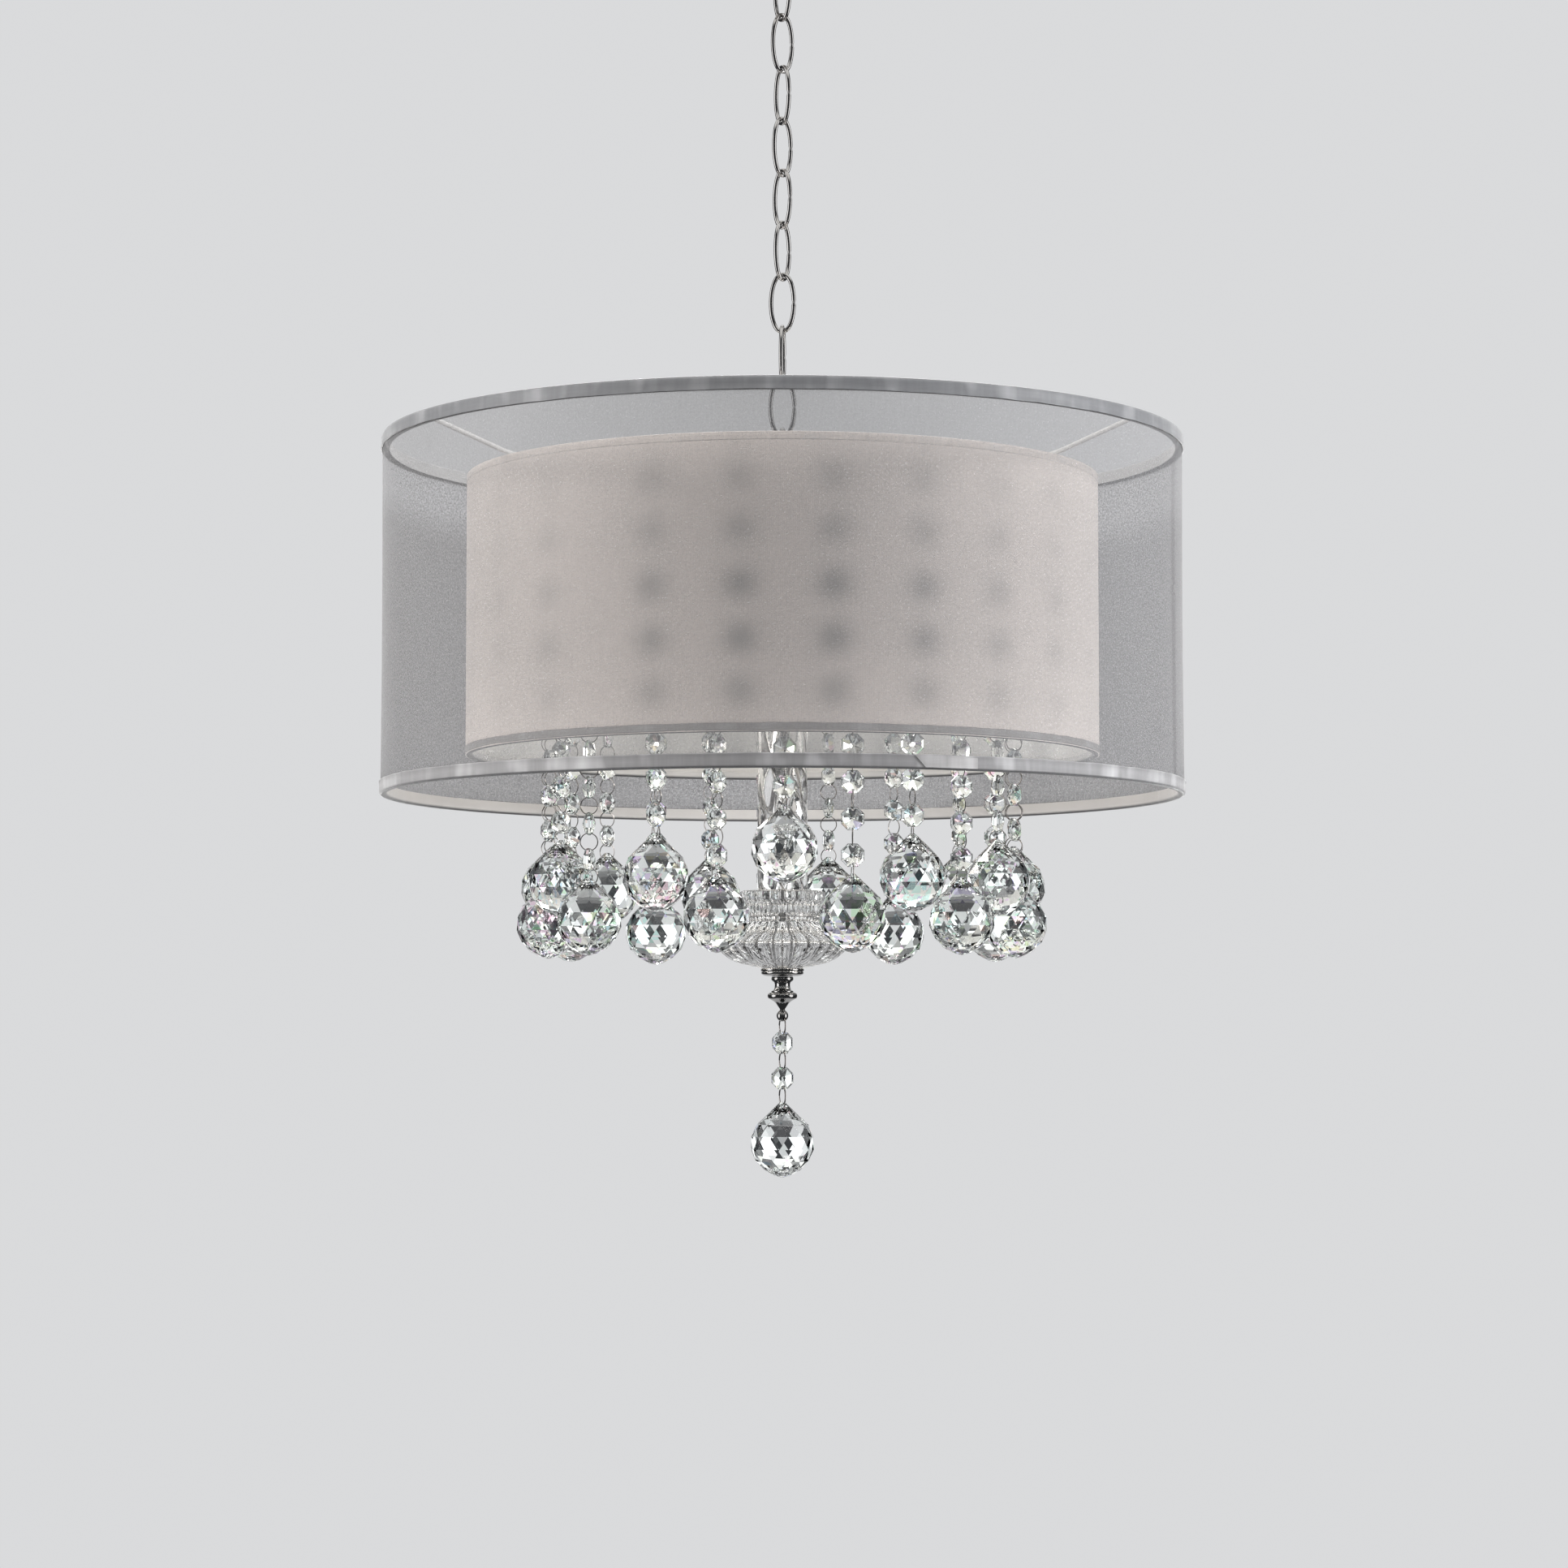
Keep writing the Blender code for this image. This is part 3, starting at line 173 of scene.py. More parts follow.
class Shape:
    """A mesh in the making, in metres. What adds to it gives the same shape back."""

    def __init__(self) -> None:
        """Starts with no points."""
        self.points: list[Vector] = []
        self.faces: list[tuple[int, ...]] = []

    def rows(self, rows: Sequence[Sequence[Vector]], closes: bool = False, capped: bool = False) -> Shape:
        """Adds quads between loops of points.

        Args:
            rows: Loops of points. A loop of one point becomes a pole.
            closes: Whether the last loop meets the first.
            capped: Whether the first and the last loop are filled.

        Returns:
            The shape.
        """
        base = []
        for row in rows:
            base.append((len(self.points), len(row)))
            self.points.extend(Vector(point) for point in row)
        following = base[1:] + base[:1] if closes else base[1:]
        for (first, first_count), (second, second_count) in zip(base, following):
            count = max(first_count, second_count)
            for step in range(count):
                after = (step + 1) % count
                corners = [first + step % first_count, first + after % first_count]
                corners += [second + after % second_count, second + step % second_count]
                corners = tuple(dict.fromkeys(corners))
                if len(corners) > 2:
                    self.faces.append(corners)
        if capped:
            self.faces.extend(tuple(range(first, first + count)) for first, count in (base[0], base[-1]))
        return self

    def turned(
        self, profile: Profile, segments: int, center: Vector | tuple = (0, 0, 0),
        ripple: Ripple | None = None, closes: bool = False, twist: float = 0.0,
    ) -> Shape:
        """Adds a turned form.

        Args:
            profile: Points of radius and height, along one side.
            segments: Count of points round the axis.
            center: The foot of the axis.
            ripple: Gives what the radius gains at an angle and a share of the profile.
            closes: Whether the profile is a loop.
            twist: Degrees that the form turns from its top to its bottom.

        Returns:
            The shape.
        """
        top = max(height for _, height in profile)
        span = max(top - min(height for _, height in profile), 1e-9)
        rows = []
        for index, (radius, height) in enumerate(profile):
            turn = radians(twist) * (top - height) / span
            share = index / max(len(profile) - 1, 1)
            row = []
            for angle in turns(segments if radius > 0 else 1):
                reach = radius + (ripple(angle, share) if ripple and radius > 0 else 0.0)
                row.append(Vector(center) + spun(reach, angle + turn, height))
            rows.append(row)
        return self.rows(rows, closes=closes)

    def tube(
        self, path: Sequence[Vector], radius: float, sides: int = 8, closed: bool = False,
        taper: Callable[[float], float] | None = None,
    ) -> Shape:
        """Adds a round wire.

        Args:
            path: Points of its centre line.
            radius: Half its thickness.
            sides: Count of points round the wire.
            closed: Whether the path is a loop.
            taper: Gives the share of the radius at a share of the path.

        Returns:
            The shape.
        """
        count = len(path)
        rows = []
        outward = None
        for index, point in enumerate(path):
            before = path[index - 1] if closed or index else point
            after = path[(index + 1) % count] if closed or index < count - 1 else point
            along = (after - before).normalized()
            if outward is None:
                outward = along.orthogonal().normalized()
            outward = (outward - along * outward.dot(along)).normalized()
            side = along.cross(outward)
            reach = radius * (taper(index / (count - 1)) if taper else 1.0)
            rows.append([point + reach * (outward * cos(turn) + side * sin(turn)) for turn in turns(sides)])
        if closed:
            return self.rows(rows, closes=True)
        return self.rows([[path[0]], *rows, [path[-1]]])

    def straight(self, start: Vector, end: Vector, count: int, radius: float, sides: int) -> Shape:
        """Adds a straight wire in a count of equal lengths."""
        return self.tube([start.lerp(end, step / count) for step in range(count + 1)], radius, sides)

    def eye(self, level: float, inner: float, wire: float, yaw: float) -> Shape:
        """Adds an upright ring of wire about the axis."""
        reach = inner + wire
        return self.tube(oval_path(reach, reach, 48, raised(level), yaw), wire, 12, closed=True)

    def split_ring(self, path: list[Vector], wire: float, sides: int) -> Shape:
        """Adds a ring of thin wire, with a small gap and rounded ends where it closes."""
        route = [path[0] * 0.985 + path[1] * 0.015, *path[1:], path[0]]
        return self.tube(route, wire, sides, taper=narrowed)

    def hull(self, points: Iterable[Vector]) -> Shape:
        """Adds the flat-sided form that wraps the points.

        Args:
            points: What it wraps.

        Returns:
            The shape.
        """
        bm = bmesh.new()
        for point in points:
            bm.verts.new(point)
        bmesh.ops.convex_hull(bm, input=bm.verts)
        loose = [vert for vert in bm.verts if not vert.link_faces]
        bmesh.ops.delete(bm, geom=loose, context="VERTS")
        return self.absorb(bm)

    def absorb(self, bm: bmesh.types.BMesh) -> Shape:
        """Takes over a bmesh's points and faces, and frees it.

        Args:
            bm: The bmesh.

        Returns:
            The shape.
        """
        bmesh.ops.recalc_face_normals(bm, faces=bm.faces)
        bm.verts.index_update()
        base = len(self.points)
        self.points.extend(vert.co.copy() for vert in bm.verts)
        self.faces.extend(tuple(base + vert.index for vert in face.verts) for face in bm.faces)
        bm.free()
        return self

    def join(self, other: Shape, place: Matrix) -> Shape:
        """Adds a copy of another shape.

        Args:
            other: The shape to copy.
            place: Where the copy goes.

        Returns:
            The shape.
        """
        base = len(self.points)
        self.points.extend(place @ point for point in other.points)
        self.faces.extend(tuple(base + corner for corner in face) for face in other.faces)
        return self

    def drilled(self, routes: Sequence[Sequence[Vector]], radius: float) -> Shape:
        """Cuts round holes.

        Args:
            routes: The points of each hole's axis.
            radius: The holes' radius.

        Returns:
            A new shape with the holes.
        """
        blank = self.object("drill_blank", smooth=False)
        drill = Shape()
        for route in routes:
            drill.tube(route, radius, sides=10)
        cutter = drill.object("drill_cutter", smooth=False)
        modifier = blank.modifiers.new("holes", "BOOLEAN")
        modifier.object = cutter
        modifier.operation = "DIFFERENCE"
        modifier.solver = "EXACT"
        bpy.context.view_layer.update()
        bm = bmesh.new()
        bm.from_object(blank, bpy.context.evaluated_depsgraph_get())
        result = Shape().absorb(bm)
        for helper in (blank, cutter):
            mesh = helper.data
            bpy.data.objects.remove(helper)
            bpy.data.meshes.remove(mesh)
        return result

    def object(self, name: str, smooth: bool = True, sharp: float = 35.0) -> Piece:
        """Makes the object.

        Args:
            name: The piece's name.
            smooth: Whether round faces are shaded smooth.
            sharp: The angle in degrees from which an edge stays crisp.

        Returns:
            The new object, linked to the scene.
        """
        mesh = bpy.data.meshes.new(name)
        mesh.from_pydata([tuple(point) for point in self.points], [], self.faces)
        bm = bmesh.new()
        bm.from_mesh(mesh)
        bmesh.ops.recalc_face_normals(bm, faces=bm.faces)
        bm.to_mesh(mesh)
        bm.free()
        if smooth:
            mesh.shade_smooth()
            mesh.set_sharp_from_angle(angle=radians(sharp))
        return linked(name, mesh)

    def piece(
        self, name: str, finish: Finish, *nodes: str, body: str = Body.LIGHT,
        at: Vector | tuple = (0, 0, 0), yaw: float = 0.0, **edges: object,
    ) -> Piece:
        """Makes the shape a piece of the light, dressed and joined to the frame.

        Args:
            name: The piece's name.
            finish: What it is made of.
            nodes: The frame's nodes that it stands for.
            body: What it rides on.
            at: Where its origin stands.
            yaw: How far it is turned there, in degrees.
            edges: How its edges are shaded, as object takes it.

        Returns:
            The piece.
        """
        made = self.object(name, **edges)
        made.location = at
        made.rotation_euler = (0, 0, radians(yaw))
        made.data.materials.append(finish.material())
        bpy.context.view_layer.update()
        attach(made, body)
        if nodes:
            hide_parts(*nodes)
        LOG.info("%s rides on %s", name, body)
        return made


class Nodes:
    """Adds and joins the nodes of one tree."""

    def __init__(self, tree: bpy.types.NodeTree) -> None:
        """Keeps the tree."""
        self.tree = tree

    def add(self, kind: str, values: dict | None = None, **settings: object) -> Sockets:
        """Adds a node.

        Args:
            kind: Its Blender type name, without the leading ShaderNode.
            values: What its inputs hold or are joined to, by name or number.
            settings: Its own settings.

        Returns:
            The node's outputs.
        """
        node = self.tree.nodes.new(f"ShaderNode{kind}")
        for name, value in settings.items():
            setattr(node, name, value)
        for name, value in (values or {}).items():
            self.feed(node.inputs[name], value)
        return node.outputs

    def feed(self, socket: Socket, value: object) -> None:
        """Sets an input, or joins it to an output.

        Args:
            socket: The input.
            value: An output, a number, a vector or a colour of three parts.
        """
        if isinstance(value, Socket):
            self.tree.links.new(value, socket)
        elif socket.type == "RGBA":
            socket.default_value = (*value, 1.0)
        else:
            socket.default_value = value

    def feeds(self, sockets: Sockets, **values: object) -> None:
        """Sets or joins inputs by name, with an underscore for each space."""
        for label, value in values.items():
            self.feed(sockets[label.replace("_", " ")], value)

    def math(self, operation: str, *values: object, clamp: bool = False) -> Socket:
        """Adds a Math node and gives its output."""
        return self.add("Math", dict(enumerate(values)), operation=operation, use_clamp=clamp)[0]

    def times(self, first: object, second: object) -> Socket:
        """Multiplies two values."""
        return self.math("MULTIPLY", first, second)

    def line(self, value: object, slope: object, start: object) -> Socket:
        """Gives the start plus the value times the slope."""
        return self.math("MULTIPLY_ADD", value, slope, start)

    def noise(self, vector: object, scale: object, detail: float = 2.0, rough: float = 0.5) -> Socket:
        """Adds a Noise Texture and gives its value."""
        return self.add("TexNoise", {"Vector": vector, "Scale": scale, "Detail": detail, "Roughness": rough})["Fac"]

    def spread(self, value: object, low: float, high: float, start: float = 0.0, end: float = 1.0) -> object:
        """Maps a value from the range of low to high to that of start to end, clamped."""
        values = {"Value": value, "From Min": low, "From Max": high, "To Min": start, "To Max": end}
        return self.add("MapRange", values, clamp=True)["Result"]

    def blend(self, factor: object, first: object, second: object, mode: str = "MIX") -> object:
        """Adds a colour Mix node and gives its output."""
        return self.add("Mix", {0: factor, 6: first, 7: second}, data_type="RGBA", blend_type=mode)[2]

    def stretched(self, vector: object, scale: Triple) -> object:
        """Scales a vector along its axes."""
        return self.add("VectorMath", {0: vector, 1: scale}, operation="MULTIPLY")[0]

    def scaled(self, vector: object, factor: object) -> object:
        """Scales a vector evenly."""
        return self.add("VectorMath", {0: vector, "Scale": factor}, operation="SCALE")[0]

    def cells(self, vector: object, fineness: float) -> object:
        """Gives one value for each small cube of space."""
        return self.add("VectorMath", {0: self.scaled(vector, fineness)}, operation="FLOOR")[0]

    def spot(self) -> object:
        """Gives the place on the object."""
        return self.add("TexCoord")["Object"]

    def parts(self, vector: object) -> Sockets:
        """Takes a vector apart."""
        return self.add("SeparateXYZ", {0: vector})

    def upward(self) -> object:
        """Gives how far the surface faces up."""
        return self.parts(self.add("NewGeometry")["Normal"])["Z"]

    def reach(self) -> object:
        """Gives the distance from the light's axis."""
        level = self.stretched(self.spot(), (1.0, 1.0, 0.0))
        return self.add("VectorMath", {0: level}, operation="LENGTH")["Value"]

    def unrolled(self, radius: object) -> object:
        """Lays the surface of a drum flat.

        Args:
            radius: The drum's radius.

        Returns:
            A vector of metres along the drum's turn, and its height.
        """
        parts = self.parts(self.spot())
        turn = self.math("ARCTAN2", parts["X"], self.times(parts["Y"], -1.0))
        return self.add("CombineXYZ", {"X": self.times(turn, radius), "Y": parts["Z"]})[0]

    def bump(self, height: object, distance: float, strength: float = 1.0, below: object = None) -> object:
        """Adds a Bump node.

        Args:
            height: The height's output, from 0 to 1.
            distance: What a height of 1 stands for, in metres.
            strength: How much of the bump shows.
            below: A normal that this bump lies on.

        Returns:
            The normal's output.
        """
        values = {"Height": height, "Distance": distance, "Strength": strength}
        if below is not None:
            values["Normal"] = below
        return self.add("Bump", values)["Normal"]


class Effect:
    """A shader node group that more than one finish uses, built once."""

    name = "effect"
    inputs: dict[str, float] = {}
    outputs: tuple[str, ...] = ()

    def tree(self) -> bpy.types.NodeTree:
        """Gives the group, made on first use.

        Returns:
            The group's tree.
        """
        found = bpy.data.node_groups.get(self.name)
        if found:
            return found
        made = bpy.data.node_groups.new(self.name, "ShaderNodeTree")
        for label, value in self.inputs.items():
            socket = made.interface.new_socket(label, in_out="INPUT", socket_type="NodeSocketFloat")
            socket.default_value = value
        for label in self.outputs:
            kind = "Color" if label == "Color" else "Float"
            made.interface.new_socket(label, in_out="OUTPUT", socket_type=f"NodeSocket{kind}")
        start = made.nodes.new("NodeGroupInput")
        end = made.nodes.new("NodeGroupOutput")
        nodes = Nodes(made)
        nodes.feeds(end.inputs, **self.build(nodes, start.outputs))
        return made

    def build(self, nodes: Nodes, given: Sockets) -> dict[str, object]:
        """Builds the group's inside from its inputs, and gives its outputs by name."""
        raise NotImplementedError

    def use(self, nodes: Nodes, **values: object) -> Sockets:
        """Places the group in a material.

        Args:
            nodes: The material's nodes.
            values: Its inputs, with an underscore for each space.

        Returns:
            Its outputs.
        """
        node = nodes.tree.nodes.new("ShaderNodeGroup")
        node.node_tree = self.tree()
        nodes.feeds(node.inputs, **values)
        return node.outputs


class Weave(Effect):
    """Crossed threads, thick and thin, on a drum of cloth."""

    name = "weave_of_drum_cloth"
    inputs = {"Radius": 0.25, "Threads": 2400.0, "Slubs": 700.0}
    outputs = ("Threads", "Slubs", "Glints", "Grain", "Clouds")

    def build(self, nodes: Nodes, given: Sockets) -> dict[str, object]:
        """Builds threads, slubs, glints, grain and clouds from the unrolled drum.

        Args:
            nodes: The group's nodes.
            given: The group's inputs.

        Returns:
            The outputs by name.
        """
        flat = nodes.unrolled(given["Radius"])
        parts = nodes.parts(flat)
        waves = []
        for axis in ("X", "Y"):
            phase = nodes.times(parts[axis], nodes.times(given["Threads"], FULL_TURN))
            waves.append(nodes.line(nodes.math("SINE", phase), 0.5, 0.5))
        upright = nodes.noise(nodes.stretched(flat, (1.0, 0.035, 1.0)), given["Slubs"], 3.0)
        level = nodes.noise(nodes.stretched(flat, (0.06, 1.0, 1.0)), given["Slubs"], 2.0)
        sparks = nodes.noise(nodes.stretched(flat, (1.0, 0.7, 1.0)), 1150.0, 1.0, 0.6)
        grain = nodes.noise(nodes.stretched(flat, (0.8, 1.0, 1.0)), 620.0, 3.0, 0.75)
        return {
            "Threads": nodes.math("MAXIMUM", *waves),
            "Slubs": nodes.line(level, 0.35, nodes.times(upright, 0.65)),
            "Glints": nodes.spread(sparks, 0.56, 0.72),
            "Grain": nodes.spread(grain, 0.38, 0.62),
            "Clouds": nodes.noise(flat, 9.0, 3.0, 0.55),
        }


class Wear(Effect):
    """Fine scratches, smudges and dust of a handled surface."""

    name = "fine_wear"
    inputs = {"Scale": 1.0, "Dust": 0.0}
    outputs = ("Scratches", "Smudges", "Dust")

    def build(self, nodes: Nodes, given: Sockets) -> dict[str, object]:
        """Builds the masks from the object's own coordinates.

        Args:
            nodes: The group's nodes.
            given: The group's inputs.

        Returns:
            The outputs by name.
        """
        scaled = nodes.scaled(nodes.spot(), given["Scale"])
        hair = nodes.noise(nodes.stretched(scaled, (1.0, 1.0, 0.12)), 2600.0, 2.0, 0.6)
        specks = nodes.noise(scaled, 700.0, 3.0, 0.7)
        lying = nodes.times(nodes.spread(nodes.upward(), 0.35, 0.95), nodes.spread(specks, 0.35, 0.7))
        return {
            "Scratches": nodes.spread(hair, 0.45, 0.75),
            "Smudges": nodes.noise(scaled, 95.0, 4.0, 0.6),
            "Dust": nodes.times(lying, given["Dust"]),
        }


class FacetFire(Effect):
    """Colour that differs from facet to facet of cut glass, as its dispersion shows it."""

    name = "facet_fire"
    inputs = {"Tint": 0.08, "Flecks": 0.12}
    outputs = ("Color", "Ripple", "Haze")

    def build(self, nodes: Nodes, given: Sockets) -> dict[str, object]:
        """Builds a hue for each facet, with a few strong ones.

        Args:
            nodes: The group's nodes.
            given: The group's inputs.

        Returns:
            The outputs by name.
        """
        place = nodes.add("TexCoord")
        cells = {0: nodes.cells(place["Normal"], 37.0), 1: nodes.cells(place["Object"], 150.0)}
        seed = nodes.add("VectorMath", cells, operation="ADD")[0]
        lucky = nodes.add("TexWhiteNoise", {"Vector": seed}, noise_dimensions="3D")
        strong = nodes.math("LESS_THAN", lucky["Value"], given["Flecks"])
        strength = nodes.line(strong, 0.40, given["Tint"])
        hue = nodes.add("SeparateColor", {0: lucky["Color"]})[1]
        return {
            "Color": nodes.add("CombineColor", {0: hue, 1: strength, 2: 1.0}, mode="HSV")[0],
            "Ripple": nodes.noise(place["Object"], 260.0, 2.0, 0.5),
            "Haze": nodes.spread(nodes.noise(place["Object"], 900.0, 3.0, 0.65), 0.55, 0.8),
        }


class Flutes(Effect):
    """Ribs that stand or wind round a turned glass, as a mask for the shade painted in their grooves."""

    name = "flutes_of_pressed_glass"
    inputs = {"Half Count": 3.0, "Twist": 0.0, "Top": 0.0}
    outputs = ("Crests",)

    def build(self, nodes: Nodes, given: Sockets) -> dict[str, object]:
        """Builds a value of 1 on each crest and 0 in each groove.

        Args:
            nodes: The group's nodes.
            given: The group's inputs.

        Returns:
            The outputs by name.
        """
        spot = nodes.parts(nodes.spot())
        angle = nodes.math("ARCTAN2", spot["Y"], spot["X"])
        down = nodes.math("SUBTRACT", given["Top"], spot["Z"])
        wound = nodes.math("SUBTRACT", angle, nodes.times(down, given["Twist"]))
        wave = nodes.math("COSINE", nodes.times(wound, given["Half Count"]))
        return {"Crests": nodes.math("ABSOLUTE", wave)}


WEAVE = Weave()
WEAR = Wear()
FACET_FIRE = FacetFire()
FLUTES = Flutes()


def toned(color: Color, share: float) -> Color:
    """Gives a colour at a share of its lightness."""
    return tuple(part * share for part in color)


@dataclass(frozen=True)
class Finish:
    """A material's name, its slot and its main values."""

    name: str
    slot: Slot
    color: Color
    roughness: float

    def material(self) -> bpy.types.Material:
        """Gives the material, made on first use.

        Returns:
            The material.
        """
        found = bpy.data.materials.get(self.name)
        if found:
            return found
        made = bpy.data.materials.new(self.name)
        made.use_nodes = True
        made.diffuse_color = (*self.color, 1.0)
        nodes = Nodes(made.node_tree)
        sockets = made.node_tree.nodes["Principled BSDF"].inputs
        nodes.feeds(sockets, Base_Color=self.color, Roughness=self.roughness)
        self.dress(nodes, sockets)
        return made

    def dress(self, nodes: Nodes, sockets: Sockets) -> None:
        """Adds what this finish shows beyond its plain colour."""


@dataclass(frozen=True)
class Metal(Finish):
    """Plated or polished metal."""

    scratches: float = 0.12
    dust: float = 0.15
    tarnish: Color = (0.42, 0.38, 0.34)
    lint: Color = (0.72, 0.71, 0.69)

    def dress(self, nodes: Nodes, sockets: Sockets) -> None:
        """Adds scratches, smudges, a warmer tone in patches and a little dust.

        Args:
            nodes: The material's nodes.
            sockets: The shader's inputs.
        """
        wear = WEAR.use(nodes, Scale=1.0, Dust=self.dust)
        patches = nodes.spread(wear["Smudges"], 0.46, 0.76, 0.0, 0.35)
        rough = nodes.line(wear["Scratches"], self.scratches, self.roughness)
        rough = nodes.math("ADD", rough, nodes.spread(wear["Smudges"], 0.4, 0.7, 0.0, 0.03))
        plated = nodes.blend(patches, self.color, self.tarnish)
        nodes.feeds(
            sockets,
            Base_Color=nodes.blend(wear["Dust"], plated, self.lint),
            Roughness=nodes.math("MAXIMUM", rough, wear["Dust"]),
            Metallic=nodes.math("SUBTRACT", 1.0, wear["Dust"]),
            Normal=nodes.bump(wear["Scratches"], 0.000004, 0.5),
        )


@dataclass(frozen=True)
class Painted(Finish):
    """Baked enamel or moulded plastic."""

    orange_peel: float = 0.00003
    dust: float = 0.12
    coat: float = 0.35
    lint: Color = (0.55, 0.53, 0.50)

    def dress(self, nodes: Nodes, sockets: Sockets) -> None:
        """Adds the enamel's fine ripple, a shift of tone and a little dust.

        Args:
            nodes: The material's nodes.
            sockets: The shader's inputs.
        """
        wear = WEAR.use(nodes, Scale=0.8, Dust=self.dust)
        tone = nodes.spread(wear["Smudges"], 0.3, 0.7)
        paint = nodes.blend(tone, toned(self.color, 0.92), toned(self.color, 1.04))
        nodes.feeds(
            sockets,
            Base_Color=nodes.blend(wear["Dust"], paint, self.lint),
            Roughness=nodes.line(wear["Scratches"], 0.15, self.roughness),
            Coat_Weight=self.coat,
            Coat_Roughness=0.12,
            Normal=nodes.bump(nodes.noise(nodes.spot(), 1400.0, 1.0), self.orange_peel),
        )


@dataclass(frozen=True)
class Glass(Finish):
    """Clear cut or pressed glass."""

    ior: float = 1.52
    tint: float = 0.01
    flecks: float = 0.0
    ripple: float = 0.0
    flutes: float = 0.0
    twist: float = 0.0
    top: float = 0.0
    # Painted shade: dark colour laid into the flutes' grooves.
    groove: Color = (0.20, 0.185, 0.175)

    def dress(self, nodes: Nodes, sockets: Sockets) -> None:
        """Adds the facets' colour, painted shade in the grooves, a haze in the grain and the ripple of pressed
        glass.

        Args:
            nodes: The material's nodes.
            sockets: The shader's inputs.
        """
        fire = FACET_FIRE.use(nodes, Tint=self.tint, Flecks=self.flecks)
        tinted = nodes.blend(1.0, self.color, fire["Color"], "MULTIPLY")
        if self.flutes:
            # Painted shade: the grooves between the crests are blended towards the dark groove colour.
            crests = FLUTES.use(nodes, Half_Count=self.flutes, Twist=self.twist, Top=self.top)["Crests"]
            tinted = nodes.blend(nodes.spread(crests, 0.42, 0.08), tinted, self.groove)
        nodes.feeds(
            sockets,
            Base_Color=tinted,
            Roughness=nodes.line(fire["Haze"], 0.015, self.roughness),
            IOR=self.ior,
            Transmission_Weight=1.0,
        )
        if self.ripple:
            nodes.feeds(sockets, Normal=nodes.bump(fire["Ripple"], self.ripple))


@dataclass(frozen=True)
class Organza(Finish):
    """Sheer cloth of the outer shade."""

    radius: float = 0.254
    cover: float = 0.575
    # Bright colour painted on the glints as highlights.
    painted_glint: Color = (0.42, 0.42, 0.44)

    def dress(self, nodes: Nodes, sockets: Sockets) -> None:
        """Adds threads, slubs that run down the cloth, glints painted into the colour as highlights, painted
        glitter on the inner face, and gaps between the threads.

        Args:
            nodes: The material's nodes.
            sockets: The shader's inputs.
        """
        cloth = WEAVE.use(nodes, Radius=self.radius, Threads=2100.0, Slubs=1400.0)
        back = nodes.add("NewGeometry")["Backfacing"]
        # Glint mask, stronger on the inner face: it lightens the colour as a painted highlight, and also thickens
        # the cloth and lowers its roughness.
        glints = nodes.times(cloth["Glints"], nodes.line(back, 0.70, 0.30))
        front_tone = nodes.blend(cloth["Grain"], toned(self.color, 0.94), toned(self.color, 1.08))
        # Painted glitter on the inner face: the grain swings the colour from far darker to far lighter, as
        # sparkling threads.
        back_painted_glitter = nodes.blend(cloth["Grain"], toned(self.color, 0.25), toned(self.color, 2.6))
        uneven = nodes.line(back, 0.16, 0.04)
        solid = nodes.line(nodes.spread(cloth["Slubs"], 0.34, 0.66), uneven, self.cover - 0.09)
        for mask, share in ((cloth["Grain"], 0.06), (cloth["Threads"], 0.06), (glints, 0.25)):
            solid = nodes.line(mask, share, solid)
        clouds = nodes.spread(cloth["Clouds"], 0.3, 0.7, -0.03, 0.03)
        grain = nodes.bump(cloth["Slubs"], 0.0001, 0.5)
        nodes.feeds(
            sockets,
            Base_Color=nodes.blend(glints, nodes.blend(back, front_tone, back_painted_glitter), self.painted_glint),
            Alpha=nodes.math("ADD", solid, clouds, clamp=True),
            Roughness=nodes.line(glints, -0.25, self.roughness),
            Specular_IOR_Level=0.3,
            Sheen_Weight=0.45,
            Sheen_Roughness=0.2,
            Normal=nodes.bump(cloth["Threads"], 0.00004, 0.4, grain),
        )


@dataclass(frozen=True)
class Satin(Finish):
    """Folded satin tape that binds the edges of the shades."""

    radius: float = 0.254
    # edge: lighter colour painted on the pucker crests as a highlight.
    edge: Color = (0.66, 0.66, 0.67)
    # Painted light: the colour of the tape's inside face stands in for the light inside the shade.
    inside_painted_light: Color = (0.58, 0.565, 0.55)
    # Painted shade: near black on faces that point down.
    underside_painted_shade: Color = (0.04, 0.04, 0.042)

    def dress(self, nodes: Nodes, sockets: Sockets) -> None:
        """Adds the satin's fine ribs, soft puckers with a painted highlight on their crests, a shift of tone along
        the tape, painted light on its inside face and painted shade on its underside.

        Args:
            nodes: The material's nodes.
            sockets: The shader's inputs.
        """
        cloth = WEAVE.use(nodes, Radius=self.radius, Threads=1500.0, Slubs=420.0)
        flat = nodes.unrolled(self.radius)
        puckers = nodes.noise(nodes.stretched(flat, (1.0, 0.35, 1.0)), 55.0, 2.0, 0.45)
        slubs = nodes.spread(cloth["Slubs"], 0.3, 0.7)
        woven = nodes.blend(slubs, toned(self.color, 0.86), toned(self.color, 1.06))
        # Painted highlight: the pucker crests are blended towards the lighter edge colour.
        front = nodes.blend(nodes.times(nodes.spread(puckers, 0.5, 0.75), 0.35), woven, self.edge)
        # Painted light: the inside face takes its own lighter colour.
        inner = nodes.math("LESS_THAN", nodes.reach(), self.radius - 0.003)
        shown = nodes.blend(inner, front, self.inside_painted_light)
        ribs = nodes.bump(cloth["Threads"], 0.00005, 0.6)
        nodes.feeds(
            sockets,
            # Painted shade: faces that point down are blended to near black.
            Base_Color=nodes.blend(nodes.spread(nodes.upward(), -0.25, -0.7), shown, self.underside_painted_shade),
            Roughness=nodes.line(cloth["Clouds"], 0.16, self.roughness),
            Sheen_Weight=0.6,
            Sheen_Roughness=0.28,
            Normal=nodes.bump(puckers, 0.0016, 0.5, ribs),
        )


